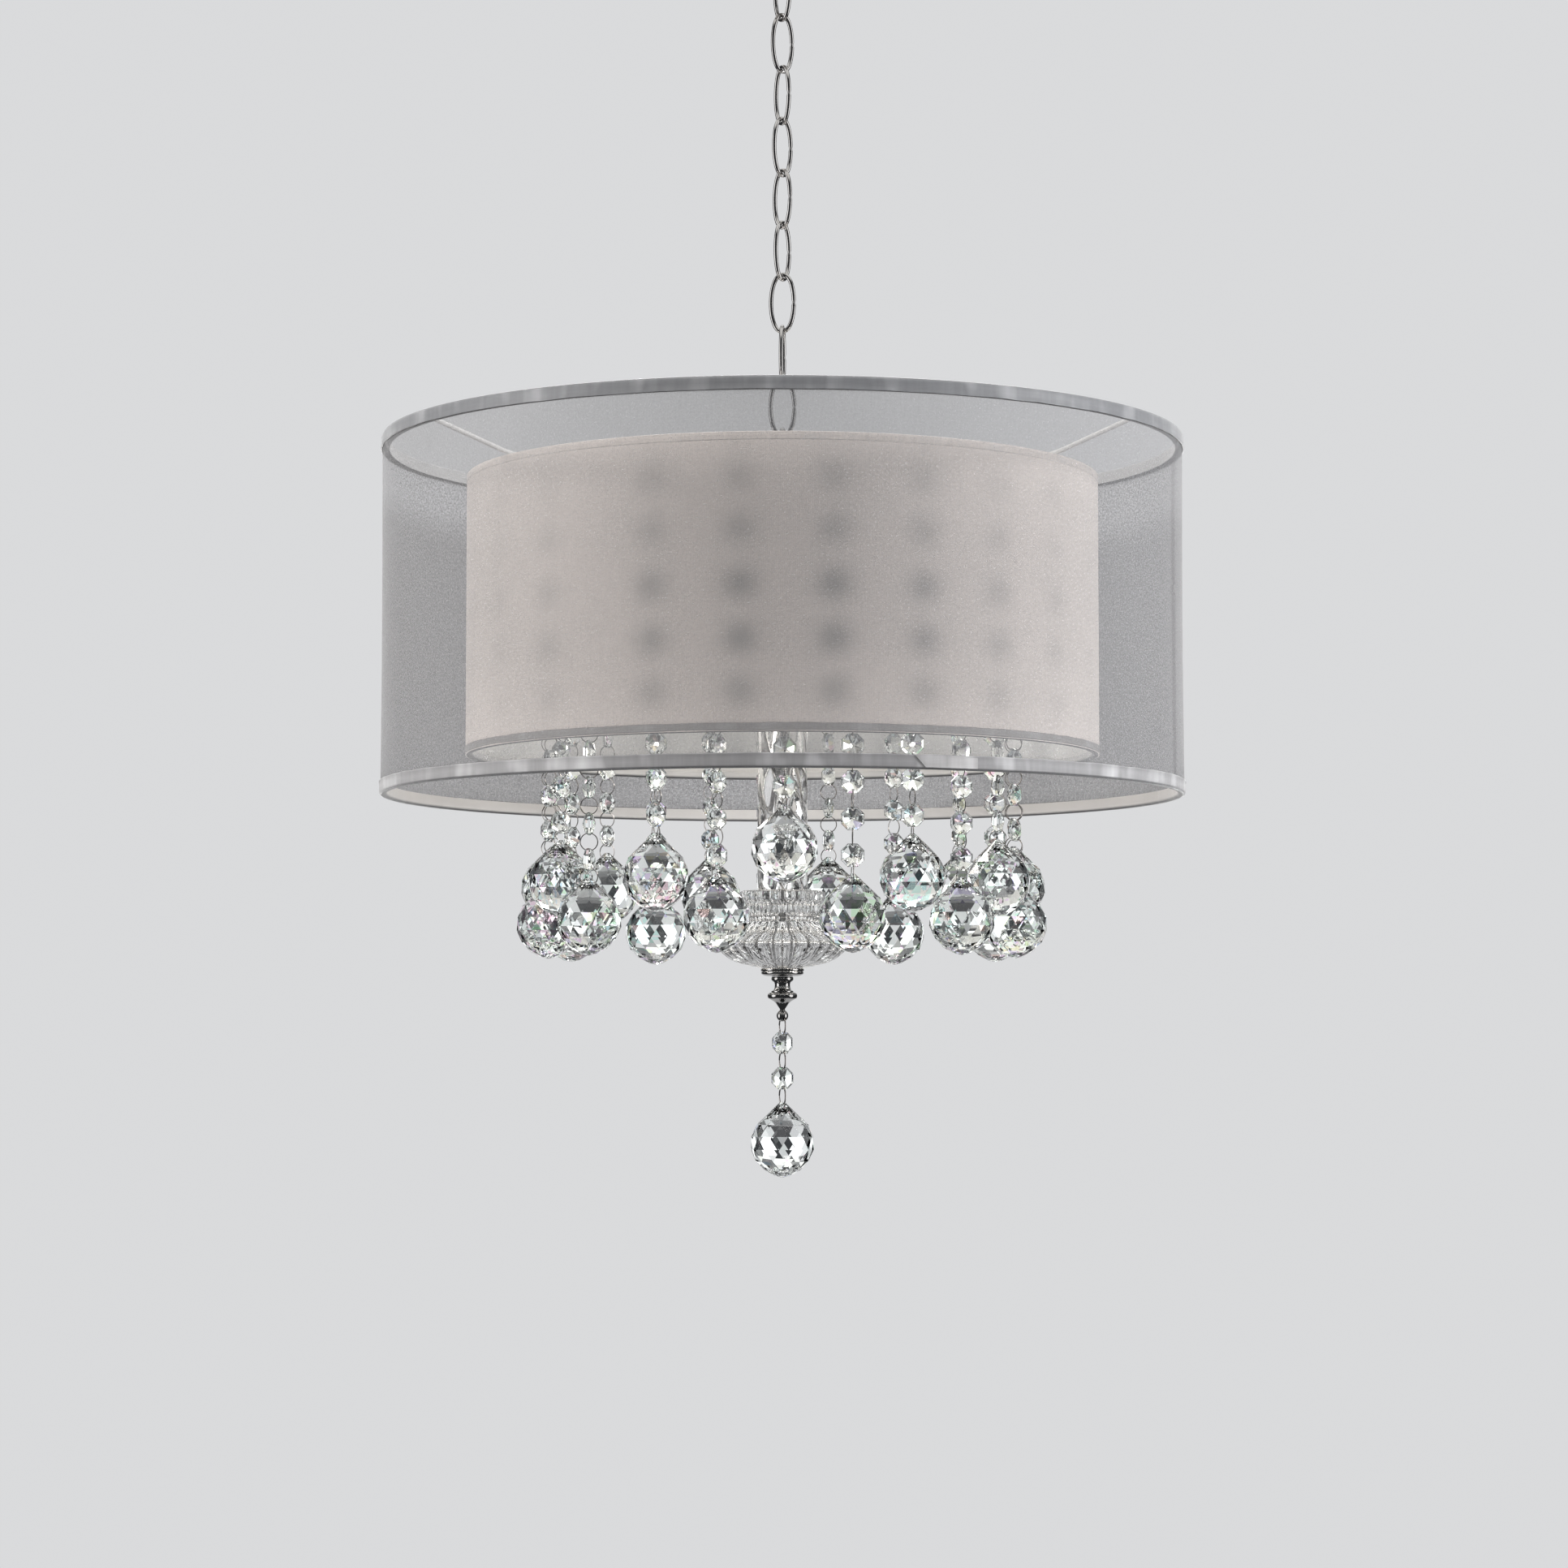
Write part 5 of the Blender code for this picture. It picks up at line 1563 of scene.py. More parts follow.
@dataclass
class Lamps:
    """Lamp body on the rod, its two arms with cups, the sockets and the bulbs."""

    azimuths: tuple[float, ...] = (48, 228)
    circle: float = 66.0 * MM
    body: float = 22.0 * MM
    bore: float = 5.3 * MM
    arm: float = 1.7 * MM
    cup: float = 13.0 * MM
    socket: float = 11.0 * MM
    bulb_radius: float = 17.5 * MM
    bulb_height: float = 68.0 * MM
    flame_anchors: Profile = (
        (0.0, 0.38), (0.06, 0.62), (0.20, 0.86), (0.40, 1.0), (0.60, 0.92), (0.82, 0.58), (0.95, 0.27), (1.0, 0.0),
    )

    def build(self) -> None:
        """Builds the lamp cluster."""
        self.cluster()
        for number, azimuth in enumerate(self.azimuths, 1):
            self.socket_piece(number, around(self.circle, azimuth))
            self.bulb(number, around(self.circle, azimuth))

    def cluster(self) -> None:
        """Builds the turned body with its arms and cups."""
        top, bottom = LEVELS.lamp_body_top, LEVELS.lamp_body_bottom
        dome = ((-8.0, 0.0), (-5.0, -0.8), (-2.0, -3.0), (0.0, -6.5), (0.0, -11.5), (-0.7, -12.5), (0.0, -13.5))
        profile = [
            (self.bore, top),
            *offsets(self.body, top, *dome),
            *offsets(self.body, bottom, (0.0, 6.0), (-1.5, 2.8), (-5.0, 0.0)),
            (self.bore, bottom),
        ]
        shape = Shape().turned(profile, 96, closes=True)
        for azimuth in self.azimuths:
            start = around(self.body - 8 * MM, azimuth, LEVELS.lamp_arm)
            end = around(self.circle - self.cup / 2, azimuth, LEVELS.lamp_arm)
            shape.straight(start, end, 5, self.arm, 12)
            self.cup_piece(shape, around(self.circle, azimuth, LEVELS.lamp_arm))
        shape.piece("lamp_arms_and_body", NICKEL, "lamp_cluster")

    def cup_piece(self, shape: Shape, center: Vector) -> None:
        """Adds the shallow cup under a socket.

        Args:
            shape: The cluster's shape.
            center: The cup's middle.
        """
        rim = ((-0.6, 2.0), (0.0, 1.5), (-0.4, -0.4), (-3.0, -1.7))
        profile = [(0.0, 2.0 * MM), *offsets(self.cup, 0.0, *rim), (4.0 * MM, -2.0 * MM), (0.0, -2.0 * MM)]
        shape.turned(profile, 48, center=center)

    def socket_piece(self, number: int, spot: Vector) -> None:
        """Builds one socket, with its rim, its ribs and the bore for the bulb.

        Args:
            number: The lamp's number.
            spot: The place of its axis.
        """
        low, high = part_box(f"socket_{number}")
        profile = [
            *offsets(0.0, high.z, (0.0, -16.0), (6.8, -16.0), (6.8, -0.6), (7.4, 0.0)),
            *offsets(self.socket, high.z, (-0.8, 0.0), (0.0, -0.8), (0.0, -5.0), (-0.6, -5.6)),
            *offsets(self.socket, low.z, (-0.6, 5.0), (0.0, 4.4), (0.0, 0.6), (-0.6, 0.0)),
            (0.0, low.z),
        ]
        shape = Shape().turned(profile, 64, center=spot, ripple=self.ribs)
        node = f"socket_{number}"
        shape.piece(f"lamp_{node}", SOCKET_PLASTIC, node)

    @staticmethod
    def ribs(angle: float, share: float) -> float:
        """Gives the socket's moulded grip."""
        return -0.18 * MM * (0.5 + 0.5 * cos(16 * angle)) if 0.52 < share < 0.8 else 0.0

    def bulb(self, number: int, spot: Vector) -> None:
        """Builds one candle bulb, with its metal base inside the socket.

        Args:
            number: The lamp's number.
            spot: The place of its axis.
        """
        low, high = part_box(f"bulb_{number}")
        neck = high.z - self.bulb_height
        profile = [*offsets(0.0, low.z, (0.0, 0.0), (6.1, 0.4), (6.5, 1.2)), (6.5 * MM, neck)]
        for share in (step / 28 for step in range(1, 28)):
            profile.append((self.bulb_radius * self.flame(share), neck + (high.z - neck) * share))
        shape = Shape().turned([*profile, (0.0, high.z)], 56, center=spot)
        node = f"bulb_{number}"
        shape.piece(f"candle_{node}", BULB_GLASS, node, sharp=70)

    def flame(self, share: float) -> float:
        """Gives the bulb's radius as a share of its widest.

        Args:
            share: A share of its height.

        Returns:
            The share of the radius.
        """
        for (start, first), (end, last) in zip(self.flame_anchors, self.flame_anchors[1:]):
            if share <= end:
                along = (share - start) / (end - start)
                smooth = along * along * (3 - 2 * along) * 0.35 + along * 0.65
                return first + (last - first) * smooth
        return 0.0


def ribbon(path: Profile, thick: float) -> Profile:
    """Gives the closed outline of a thin folded strip.

    Args:
        path: The strip's outer line, as radius and height.
        thick: The strip's thickness, laid to the left of the line's direction.

    Returns:
        The outline.
    """
    inner = []
    for index, (radius, height) in enumerate(path):
        before = path[max(index - 1, 0)]
        after = path[min(index + 1, len(path) - 1)]
        along = Vector((after[0] - before[0], after[1] - before[1])).normalized()
        inner.append((radius - along.y * thick, height + along.x * thick))
    return list(path) + inner[::-1]


@dataclass
class Shade:
    """What both drum shades share: their cloth's place and the tape that binds its edges."""

    name: str
    radius: float
    tape_height: float
    tape_stand: float
    fold: float
    tape: Satin
    top_tape: Satin
    top_lip: float = 1.0
    segments: int = 288
    tape_thick: float = 0.4 * MM

    def top(self) -> float:
        """Gives the shade's upper edge."""
        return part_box(f"{self.name}_shade")[1].z

    def bottom(self) -> float:
        """Gives the shade's lower edge."""
        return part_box(f"{self.name}_shade")[0].z

    def tapes(self) -> list[Piece]:
        """Builds the upper and the lower tape."""
        return [self.tape_piece(1.0), self.tape_piece(-1.0)]

    def declare(self, cloth: Piece, *sewn: Piece) -> None:
        """Works out the flat size of the cloth, which is stretched on its wires.

        Args:
            cloth: The drum; not used.
            sewn: What is sewn to it; not used.
        """
        flat = (round(FULL_TURN * self.radius, 4), round(self.top() - self.bottom(), 4))

    def tape_piece(self, away: float) -> Piece:
        """Builds the tape that folds over one edge of the cloth and its wire.

        Args:
            away: 1 at the top and -1 at the bottom.

        Returns:
            The tape.
        """
        edge = self.top() if away > 0 else self.bottom()
        proud = self.top_lip if away > 0 else 1.0
        tall, outside = self.tape_height, self.radius + self.tape_stand * proud
        inside = outside - self.fold
        path = [
            *offsets(outside, -tall, (-0.30, 0.0), (0.22 * proud, 0.25), (0.26 * proud, 0.95), (0.0, 1.35)),
            (outside, -tall * 0.5),
            *offsets(outside, 0.0, (0.0, -1.6), (-0.35, -0.7), (-1.1, -0.05), (-2.2, 0.25)),
            *offsets(inside, 0.0, (1.4, 0.1), (0.4, -0.8), (0.0, -2.2)),
            (inside, -tall * 0.55),
            (inside, -tall * 0.92),
        ]
        placed = [(radius, edge + away * height) for radius, height in ribbon(path, self.tape_thick)]
        shape = Shape().turned(placed, self.segments, closes=True)
        lip = edge - away * tall
        for index, point in enumerate(shape.points):
            level = Vector((point.x, point.y, 0.0))
            waver = 0.14 * MM * noise.noise(level * 26.0 + raised(7.0 * away))
            near = max(0.0, 1.0 - abs(point.z - lip) / (2.2 * MM))
            near *= 1.0 if level.length > self.radius - self.fold / 2 else 0.3
            rise = 0.42 * proud * MM * noise.noise(level * 61.0) * near
            shape.points[index] = level * (1.0 + waver / level.length) + raised(point.z + rise)
        finish, label = (self.top_tape, "upper") if away > 0 else (self.tape, "lower")
        return shape.piece(f"{self.name}_{label}_tape", finish, sharp=55)


@dataclass
class OuterShade(Shade):
    """Sheer outer drum."""

    name: str = "outer"
    radius: float = 254.0 * MM
    tape_height: float = 8.4 * MM
    tape_stand: float = 0.35 * MM
    fold: float = 5.2 * MM
    tape: Satin = OUTER_TAPE
    top_tape: Satin = OUTER_BINDING
    storeys: int = 20
    lap_azimuth: float = 97.0
    lap_half: float = 4.5 * MM
    end_azimuth: float = 17.4
    end_span: float = 9.0
    end_columns: int = 24

    def build(self) -> None:
        """Builds the cloth, its tapes, the tape's cut end and the lap."""
        self.declare(self.cloth(), *self.tapes(), self.tape_end(), self.lap())

    def on_cloth(self, azimuth: float, share: float, height: float, stand: float = 0.0) -> Vector:
        """Finds a point of the taut cloth, which is pulled in a little between its wires.

        Args:
            azimuth: Degrees from the front.
            share: How far up the cloth the point is.
            height: Its level.
            stand: How far it stands off the cloth.

        Returns:
            The point.
        """
        angle = radians(azimuth)
        middle = sin(pi * share)
        spot = Vector((sin(angle), cos(angle), 0.0)) * 3.0
        wave = noise.noise(spot + raised(share * 0.8)) * 0.35 * MM * middle
        reach = self.radius - 0.35 * MM - 0.55 * MM * middle + wave
        return around(reach + stand, azimuth, height)

    def woven(self, inset: float, outline: Profile, capped: bool = False) -> Shape:
        """Builds rows of points up the cloth.

        Args:
            inset: How far from the cloth's edges the rows begin and end.
            outline: The azimuth of each point of a row, and how far it stands off the cloth.
            capped: Whether the first and the last row are filled.

        Returns:
            The shape.
        """
        low, high = self.bottom() + inset, self.top() - inset
        rows = []
        for share in (level / self.storeys for level in range(self.storeys + 1)):
            height = low + (high - low) * share
            rows.append([self.on_cloth(azimuth, share, height, stand) for azimuth, stand in outline])
        return Shape().rows(rows, capped=capped)

    def cloth(self) -> Piece:
        """Builds the single sheet of organza."""
        drum = self.woven(0.2 * MM, [(360 * step / self.segments, 0.0) for step in range(self.segments)])
        return drum.piece("outer_organza_drum", ORGANZA, "outer_shade", sharp=180)

    def lap(self) -> Piece:
        """Builds the narrow strip at the side where the cloth's ends overlap."""
        half = degrees(self.lap_half / self.radius)
        azimuths = [self.lap_azimuth - half + 2 * half * step / 6 for step in range(7)]
        outline = [(spot, 0.3 * MM) for spot in azimuths] + [(spot, 0.1 * MM) for spot in azimuths[::-1]]
        strip = self.woven(1.0 * MM, outline, capped=True)
        return strip.piece("outer_cloth_lap", ORGANZA)

    def end_row(self, share: float, height: float) -> list[Vector]:
        """Gives the outline of the tape's cut end at a level.

        Args:
            share: How far up the tape the level is.
            height: The level.

        Returns:
            The outline.
        """
        outside, row = self.radius + self.tape_stand, []
        start = self.end_azimuth + 1.5 * (1 - share)
        stop = self.end_azimuth + self.end_span
        steps = [step / self.end_columns for step in range(self.end_columns + 1)]
        for along in steps:
            azimuth = start + (stop - start) * along
            ease = min(1.0, 8 * along + 0.8) * (1.0 - 0.92 * along)
            pleat = 0.16 * MM * exp(-(((azimuth - self.end_azimuth - 6.3) / 0.35) ** 2))
            row.append(around(outside + 0.85 * MM * ease + pleat, azimuth, height))
        return row + [around(outside - 0.05 * MM, start + (stop - start) * along, height) for along in steps[::-1]]

    def tape_end(self) -> Piece:
        """Builds the end of the lower tape, cut slantwise and laid over its start."""
        low, high = self.bottom() + 0.9 * MM, self.bottom() + self.tape_height - 0.5 * MM
        rows = [self.end_row(share, low + (high - low) * share) for share in (step / 6 for step in range(7))]
        end = Shape().rows(rows, capped=True)
        return end.piece("outer_lower_tape_end", OUTER_TAPE_END, sharp=50)


@dataclass
class InnerShade(Shade):
    """Lined inner drum, with the soft shadows that the beads cast on it."""

    name: str = "inner"
    radius: float = 200.4 * MM
    tape_height: float = 5.2 * MM
    tape_stand: float = 0.3 * MM
    fold: float = 5.0 * MM
    tape: Satin = INNER_TAPE
    top_tape: Satin = INNER_BINDING
    top_lip: float = 0.1
    cloth_thick: float = 0.8 * MM
    storeys: int = 56
    columns: int = 360
    shadow_levels: tuple[float, ...] = (-411.1, -442.3, -474.9, -507.0, -538.1)
    shadow_depths: tuple[float, ...] = (0.55, 0.7, 1.0, 1.0, 0.75)
    shadow_shift: float = 8.3
    shadow_width: float = 3.2
    shadow_height: float = 10.5

    def build(self, strands: Sequence[Strand]) -> None:
        """Builds the lining, with the shadows of the strands' beads, and its tapes."""
        self.declare(self.cloth(strands), *self.tapes())

    def cloth(self, strands: Sequence[Strand]) -> Piece:
        """Builds the lined drum as a thin shell.

        Args:
            strands: The strands that stand inside it.

        Returns:
            The drum.
        """
        low, high = self.bottom() + 0.3 * MM, self.top() - 0.3 * MM
        heights = [low + (high - low) * level / self.storeys for level in range(self.storeys + 1)]
        shell = [(self.radius - 0.05 * MM, height) for height in heights]
        shell += [(self.radius - self.cloth_thick, height) for height in heights[::-1]]
        azimuths = [360 * step / self.columns for step in range(self.columns)]
        rows = [[around(reach, azimuth, height) for azimuth in azimuths] for reach, height in shell]
        shape = Shape().rows(rows, closes=True)
        drum = shape.piece("inner_lined_drum", LINING, "inner_shade", sharp=50)
        dark = [self.column_shade(azimuth, strands) for azimuth in azimuths]
        values = []
        for vert in drum.data.vertices:
            azimuth = degrees(atan2(vert.co.x, -vert.co.y)) % 360
            values.append(dark[round(azimuth) % 360] * self.level_shade(vert.co.z))
        drum.data.attributes.new("bead_shade", "FLOAT", "POINT").data.foreach_set("value", values)
        return drum

    def column_shade(self, azimuth: float, strands: Sequence[Strand]) -> float:
        """Gives how dark the shadows are at an azimuth.

        Args:
            azimuth: Degrees from the front.
            strands: The strands.

        Returns:
            The darkness, from 0 to 1.
        """
        dark = 0.0
        for strand in strands:
            away = (azimuth - strand.azimuth - self.shadow_shift + 180) % 360 - 180
            faced = 0.5 + 0.5 * cos(radians(strand.azimuth + 6.0))
            dark = max(dark, (0.04 + 0.96 * faced**6) * exp(-((away / self.shadow_width) ** 2)))
        return dark

    def level_shade(self, height: float) -> float:
        """Gives how dark the shadows are at a level.

        Args:
            height: The level.

        Returns:
            The darkness, from 0 to 1.
        """
        dark = 0.12
        for level, depth in zip(self.shadow_levels, self.shadow_depths):
            away = (height - level * MM) / (self.shadow_height * MM)
            dark = max(dark, depth * exp(-(away**2)))
        return dark


@dataclass
class Strand:
    """One hanging strand of beads with its ball."""

    kind: StrandKind
    azimuth: float
    yaw: float
    number: int
    wire: float = 0.32 * MM
    first_ring: float = -4.05 * MM
    first_bead: float = -15.05 * MM
    last_bead_above_ball: float = 37.0 * MM
    last_ring_above_ball: float = 26.6 * MM

    def build(self, kit: CrystalKit) -> None:
        """Builds the strand's crystals and its wire rings.

        Args:
            kit: The shapes of the bead and the ball.
        """
        draw = random.Random(SEED + self.number)
        drop, count = self.kind.value
        ball = -drop * MM
        pitch = (self.first_bead - (ball + self.last_bead_above_ball)) / (count - 1)
        glass, wires = Shape(), Shape()
        self.ring(wires, self.first_ring, 0.0)
        for index in range(count):
            turn = radians(draw.uniform(-13, 13))
            lean = radians(draw.uniform(-2.5, 2.5))
            height = self.first_bead - pitch * index
            tilt = Matrix.Rotation(turn, 4, "Z") @ Matrix.Rotation(lean, 4, "X")
            glass.join(kit.bead, Matrix.Translation((0, 0, height)) @ tilt)
            below = height - pitch / 2 if index < count - 1 else ball + self.last_ring_above_ball
            self.ring(wires, below, draw.uniform(-9, 9))
        spin = Matrix.Rotation(radians(draw.uniform(-4, 4)), 4, "Z")
        glass.join(kit.ball, Matrix.Translation((0, 0, ball)) @ spin)
        label = f"{self.number:02d}"
        pivot = around(STRAND_CIRCLE, self.azimuth, LEVELS.strand_pivot)
        place = {"body": f"strand_{label}", "at": pivot, "yaw": self.yaw}
        glass.piece(f"strand_crystals_{label}", CUT_CRYSTAL, f"crystal_strand_{label}", smooth=False, **place)
        wires.piece(f"strand_rings_{label}", BEAD_WIRE, **place)

    def ring(self, shape: Shape, level: float, turn: float) -> None:
        """Adds one wire ring, which stands a few degrees off square."""
        shape.split_ring(oval_path(RING_REACH, RING_REACH, 30, raised(level), 90 + turn), self.wire, 6)


@dataclass
class CrystalKit:
    """Cut shapes that the strands and the drop share."""

    bead_across: float = 14.0 * MM
    bead_thick: float = 8.0 * MM
    hole: float = 0.9 * MM
    hole_from_center: float = 5.25 * MM
    drop_hole: float = 1.0 * MM
    ball_foot: float = -21.5 * MM
    ball_rows: Profile = (
        (1.5, 26.0), (10.4, 17.4), (16.5, 11.6), (19.8, 4.2),
        (19.9, -3.9), (16.9, -11.4), (11.2, -17.0), (4.6, -20.5),
    )
    ball_sides: int = 12
    bead: Shape = field(default_factory=Shape)
    ball: Shape = field(default_factory=Shape)
    drop_ball: Shape = field(default_factory=Shape)

    def build(self) -> None:
        """Builds the drilled bead and both drilled balls."""
        level, depth = self.hole_from_center, self.bead_thick
        holes = [[Vector((0, -depth, side * level)), Vector((0, depth, side * level))] for side in (-1, 1)]
        self.bead = self.bead_blank().drilled(holes, self.hole)
        blank = self.ball_blank()
        self.ball = blank.drilled([self.arc(RING_REACH, RING_REACH, 26.6 * MM)], self.hole)
        self.drop_ball = blank.drilled([self.arc(4.55 * MM, 6.1 * MM, 29.7 * MM)], self.drop_hole)

    @staticmethod
    def arc(width: float, height: float, center: float) -> list[Vector]:
        """Gives the lower part of a wire ring's route, which bends through a ball's neck."""
        angles = [radians(200 + 140 * step / 12) for step in range(13)]
        return [Vector((0, width * cos(angle), center + height * sin(angle))) for angle in angles]

    def bead_blank(self) -> Shape:
        """Gives the octagon bead with its table, crown facets and girdle.

        Returns:
            The bead without its holes.
        """
        half = self.bead_across / 2 / cos(pi / 8)
        cuts = ((half, 0.7 * MM), (half * 0.80, 2.35 * MM), (half * 0.12, self.bead_thick / 2))
        points = []
        for side in (-1, 1):
            for reach, depth in cuts:
                for corner in range(8):
                    angle = pi / 4 * (corner + 0.5)
                    points.append(Vector((reach * cos(angle), side * depth, reach * sin(angle))))
        return Shape().hull(points)

    def ball_blank(self) -> Shape:
        """Gives the faceted ball with its pointed top.

        Returns:
            The ball without its hole.
        """
        points = [raised(self.ball_foot)]
        for number, (reach, height) in enumerate(self.ball_rows):
            for corner in range(self.ball_sides):
                angle = FULL_TURN * (corner + number / 2) / self.ball_sides
                points.append(spun(reach, angle, height) * MM)
        return Shape().hull(points)


@dataclass
class GlassStack:
    """Twisted column, scalloped crown and ribbed bowl, clamped on the rod."""

    column_radius: float = 15.0 * MM
    column_bore: float = 4.2 * MM
    column_twist: float = 120.0
    column_flutes: int = 6
    column_levels: int = 54
    bore: float = 3.3 * MM
    scallops: int = 24
    ribs: int = 30
    bowl_anchors: Profile = ((22.5, 0.0), (29.2, 0.22), (41.1, 0.46), (37.3, 0.68), (28.9, 0.87), (14.0, 1.0))

    def build(self) -> None:
        """Builds the three glasses."""
        self.column()
        self.crown()
        self.bowl()

    def column(self) -> None:
        """Builds the clear column, with rounded flutes that wind round it."""
        top, bottom, levels = LEVELS.column_top, LEVELS.column_bottom, self.column_levels
        outer = []
        for level in range(levels + 1):
            ease = 0.5 * MM if level in (0, levels) else 0.0
            outer.append((self.column_radius - ease, top + (bottom - top) * level / levels))
        inner = [(self.column_bore, height) for _, height in reversed(outer)]
        shape = Shape().turned(outer + inner, 120, ripple=self.flute, closes=True, twist=self.column_twist)
        shape.piece("twisted_glass_column", COLUMN_GLASS, "glass_column", sharp=40)

    def flute(self, angle: float, share: float) -> float:
        """Gives the round ribs between the column's flutes."""
        wave = abs(cos(self.column_flutes / 2 * angle))
        return 0.0 if share > 0.5 else 1.9 * MM * wave**0.6 - 0.9 * MM

    def crown(self) -> None:
        """Builds the crown: scalloped rim, fluted band and thin lower band."""
        top, bottom = LEVELS.crown_top, LEVELS.crown_bottom
        shoulder = ((16.5, -0.4), (19.0, -1.6), (22.5, -1.3), (24.6, 0.0), (26.0, -0.5), (26.5, -1.8))
        rim = ((26.3, -3.2), (26.5, -4.6), (26.0, -6.2), (24.4, -7.4), (23.5, -8.6), (23.3, -11.0))
        foot = ((23.5, 5.4), (24.3, 4.8), (24.6, 3.9), (24.3, 3.1), (23.4, 2.6), (23.8, 1.2), (23.2, 0.0))
        outside = offsets(0.0, top, *shoulder, *rim) + offsets(0.0, bottom, *foot)
        profile = [(self.bore, top - 0.4 * MM), *outside, (self.bore, bottom)]
        shape = Shape().turned(profile, 288, ripple=self.scallop, closes=True)
        shape.piece("scalloped_glass_crown", CROWN_GLASS, "glass_crown", sharp=32)

    def scallop(self, angle: float, share: float) -> float:
        """Gives the crown's scallops on its rim and flutes on its band.

        Args:
            angle: The angle about the axis.
            share: A share of the profile.

        Returns:
            What the radius gains.
        """
        index = round(share * 20)
        if 4 <= index <= 10:
            return 1.5 * MM * abs(cos(self.scallops / 2 * angle)) - 0.75 * MM
        if 11 <= index <= 13:
            return 1.2 * MM * abs(cos(self.scallops * angle)) - 0.6 * MM
        if 17 <= index <= 18:
            return 0.35 * MM * abs(cos(self.scallops * angle))
        return 0.0

    def bowl(self) -> None:
        """Builds the ribbed bowl of thick glass."""
        top, bottom = LEVELS.bowl_top, LEVELS.bowl_bottom
        height = top - bottom
        outer = self.smoothed([(radius * MM, top - height * down) for radius, down in self.bowl_anchors], 6)
        profile = outer + [(self.bore, bottom), (self.bore, top)]
        shape = Shape().turned(profile, 240, ripple=self.rib_of(len(outer), len(outer) + 1), closes=True)
        shape.piece("ribbed_glass_bowl", BOWL_GLASS, "glass_bowl", sharp=32)

    def rib_of(self, outer: int, last: int) -> Ripple:
        """Gives the bowl's ribs, which fade towards its neck and foot.

        Args:
            outer: Count of the profile's outer points.
            last: Index of the profile's last point.

        Returns:
            The ribs.
        """

        def rib(angle: float, share: float) -> float:
            """Gives what the radius gains."""
            index = share * last
            if index >= outer:
                return 0.0
            fade = sin(pi * min(1.0, max(0.0, (index + 1) / (outer + 1)))) ** 0.6
            return 1.9 * MM * fade * abs(cos(self.ribs / 2 * angle)) ** 0.8 - 1.1 * MM * fade

        return rib

    @staticmethod
    def smoothed(anchors: Profile, steps: int) -> Profile:
        """Gives a smooth curve through the anchors.

        Args:
            anchors: Points of radius and height.
            steps: Count of points between two anchors.

        Returns:
            The curve.
        """
        curve = []
        last = len(anchors) - 1
        for index in range(last):
            before = Vector(anchors[max(index - 1, 0)])
            start, end = Vector(anchors[index]), Vector(anchors[index + 1])
            after = Vector(anchors[min(index + 2, last)])
            for t in (step / steps for step in range(steps)):
                linear = 2 * start + (end - before) * t
                square = (2 * before - 5 * start + 4 * end - after) * t**2
                cubic = (3 * start - before - 3 * end + after) * t**3
                curve.append(tuple(0.5 * (linear + square + cubic)))
        return [*curve, tuple(anchors[-1])]


@dataclass
class Finial:
    """Base cap and turned finial under the bowl."""

    bore: float = 3.3 * MM
    cap: float = 13.75 * MM
    eye: float = 3.75 * MM
    neck: float = 1.5 * MM
    hole: float = 1.1 * MM
    anchors: Profile = (
        (6.6, 0.0), (7.0, 0.02), (7.0, 0.07), (6.3, 0.10), (5.2, 0.13), (4.85, 0.17), (5.0, 0.24),
        (5.6, 0.29), (6.4, 0.31), (7.0, 0.32), (7.0, 0.345), (8.4, 0.36), (9.3, 0.385), (9.5, 0.43),
        (9.2, 0.475), (8.0, 0.50), (5.6, 0.545), (4.2, 0.59), (3.2, 0.64), (2.0, 0.70), (1.5, 0.735),
    )

    def build(self, drop: Drop) -> None:
        """Builds the cap and the finial, whose eye is drilled for what hangs on it."""
        self.base_cap()
        self.finial(drop)

    def base_cap(self) -> None:
        """Builds the polished cap with its two beads."""
        top, bottom = LEVELS.cap_top, LEVELS.cap_bottom
        upper = ((-0.5, 0.0), (0.0, -0.5), (0.0, -1.5), (-0.5, -2.0), (-0.4, -2.4), (-0.2, -3.0), (-0.6, -3.8))
        rim = offsets(self.cap, top, *upper) + offsets(self.cap, bottom, (-2.0, 0.5), (-4.0, 0.0))
        shape = Shape().turned([(self.bore, top), *rim, (self.bore, bottom)], 96, closes=True)
        shape.piece("bowl_base_cap", BLACK_NICKEL, "base_cap", sharp=50)

    def finial(self, drop: Drop) -> None:
        """Builds the finial: spool, waist, disc, tip and drilled eye ball.

        Args:
            drop: What hangs in its eye.
        """
        top, height = LEVELS.finial_top, LEVELS.finial_top - LEVELS.finial_bottom
        profile = [(0.0, top)] + [(radius * MM, top - height * down) for radius, down in self.anchors]
        start = asin(self.neck / self.eye)
        for step in range(1, 12):
            angle = start + (pi - start) * step / 12
            profile.append((self.eye * sin(angle), LEVELS.finial_eye + self.eye * cos(angle)))
        shape = Shape().turned([*profile, (0.0, LEVELS.finial_bottom)], 48)
        route = oval_path(drop.half_width, drop.first_half, 40, raised(LEVELS.drop_ring), drop.yaw + 90)
        drilled = shape.drilled([route[3:18]], self.hole)
        drilled.piece("turned_finial", BLACK_NICKEL, "finial", sharp=50)


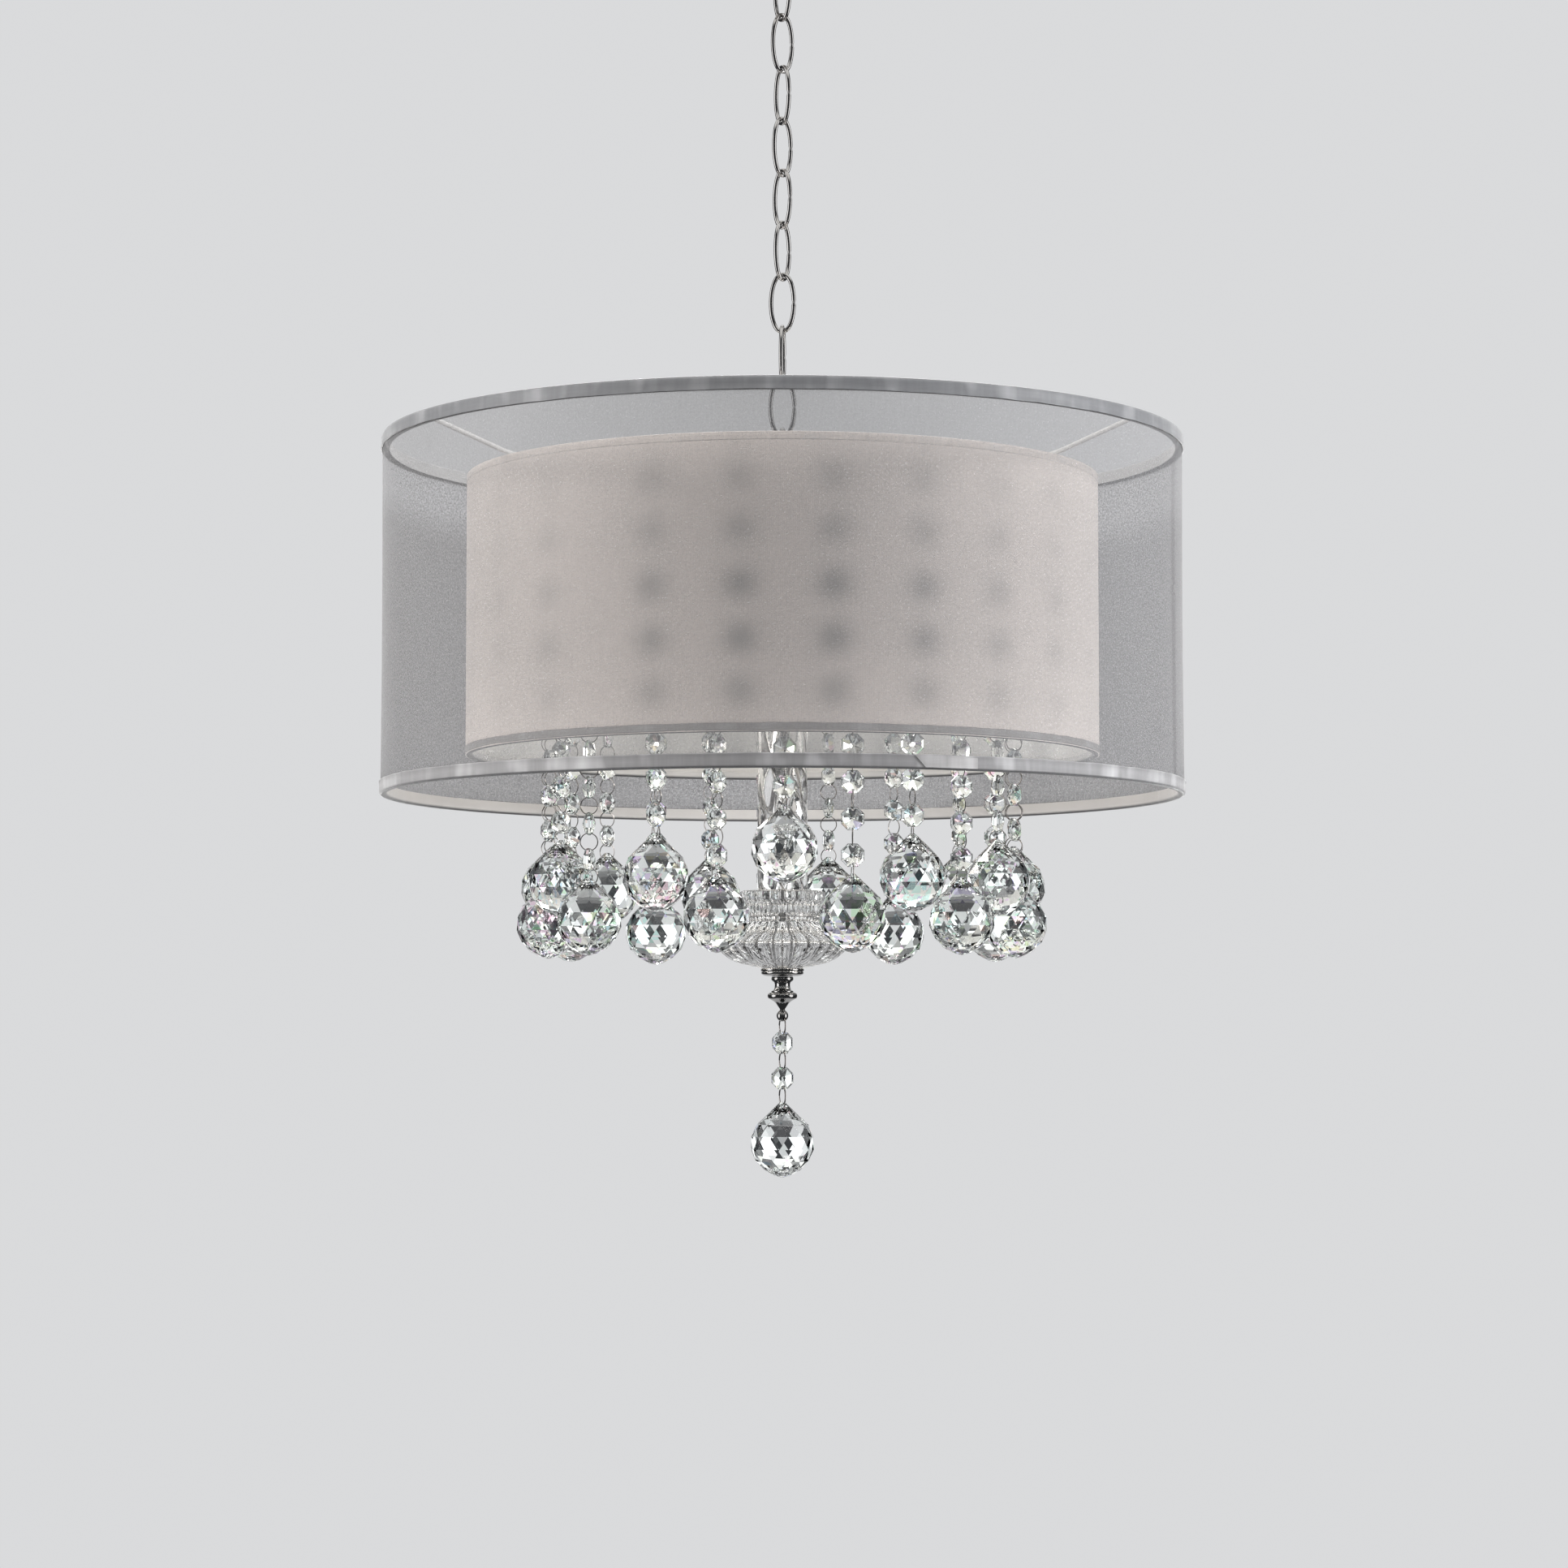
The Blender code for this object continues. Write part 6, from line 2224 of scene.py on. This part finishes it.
@dataclass
class Drop:
    """Beads, wire rings and ball that hang under the finial."""

    yaw: float = 25.0
    wire: float = 0.45 * MM
    half_width: float = 4.55 * MM
    first_half: float = 5.75 * MM
    half: float = 6.1 * MM
    ball_center: float = -806.1 * MM

    def build(self, kit: CrystalKit) -> None:
        """Builds the drop's pieces.

        Args:
            kit: The shapes of the bead and the ball.
        """
        rings = (
            (LEVELS.drop_ring, self.first_half, Body.DROP),
            (-754.1 * MM, self.half, Body.DROP),
            (-776.4 * MM, self.half, Body.DROP_BALL),
        )
        for number, (height, half, body) in enumerate(rings, 1):
            path = oval_path(self.half_width, half, 36, Vector(), self.yaw + 90)
            ring = Shape().split_ring(path, self.wire, 8)
            ring.piece(f"drop_wire_ring_{number}", BEAD_WIRE, f"drop_ring_{number}", body=body, at=raised(height))
        crystals = (
            ("drop_crystal_bead_1", kit.bead, -742.95 * MM, 4.0, Body.DROP, "drop_bead_1"),
            ("drop_crystal_bead_2", kit.bead, -765.25 * MM, -7.0, Body.DROP, "drop_bead_2"),
            ("drop_crystal_ball", kit.drop_ball, self.ball_center, 0.0, Body.DROP_BALL, "drop_ball"),
        )
        for name, cut, height, extra, body, node in crystals:
            shape = Shape().join(cut, Matrix.Rotation(radians(self.yaw + extra), 4, "Z"))
            shape.piece(name, CUT_CRYSTAL, node, body=body, at=raised(height), smooth=False)


def strands() -> list[Strand]:
    """Gives every strand in order, with its azimuth from the front and the turn of its beads.

    Returns:
        The strands.
    """
    long, short, front = StrandKind
    layout = (
        (front, 0.5, 5), (long, 16.5, 0), (short, 32, 10), (long, 47.5, 25), (short, 64, 70),
        (long, 79.5, 60), (short, 96, 80), (long, 112, 15), (short, 128.5, 55), (long, 150, 35),
        (short, 168, 75), (long, 184, 10), (short, 199, 50), (long, 214.5, 20), (short, 231, 65),
        (long, 247, 45), (short, 262, 85), (long, 277, 60), (short, 292, 50), (long, 307, 90),
        (short, 329, 35), (long, 344.6, 35),
    )
    return [Strand(*values, number) for number, values in enumerate(layout, 1)]


def corners(box: tuple[Vector, Vector]) -> list[list[float]]:
    """Gives a box's lowest and highest corner as plain numbers."""
    return [[float(part) for part in corner] for corner in box]


def main() -> None:
    """Builds the whole light around its frame."""
    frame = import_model()
    Studio().build()
    hanging = strands()
    kit = CrystalKit()
    drop = Drop()
    kit.build()
    Canopy().build(frame)
    Chain().build()
    Frames().build(hanging)
    OuterShade().build()
    InnerShade().build(hanging)
    Lamps().build()
    GlassStack().build()
    Finial().build(drop)
    for strand in hanging:
        strand.build(kit)
    drop.build(kit)
    LOG.info("built %d strands", len(hanging))


if __name__ == "__main__":
    logging.basicConfig(level=logging.INFO, format="%(name)s: %(message)s")
    main()
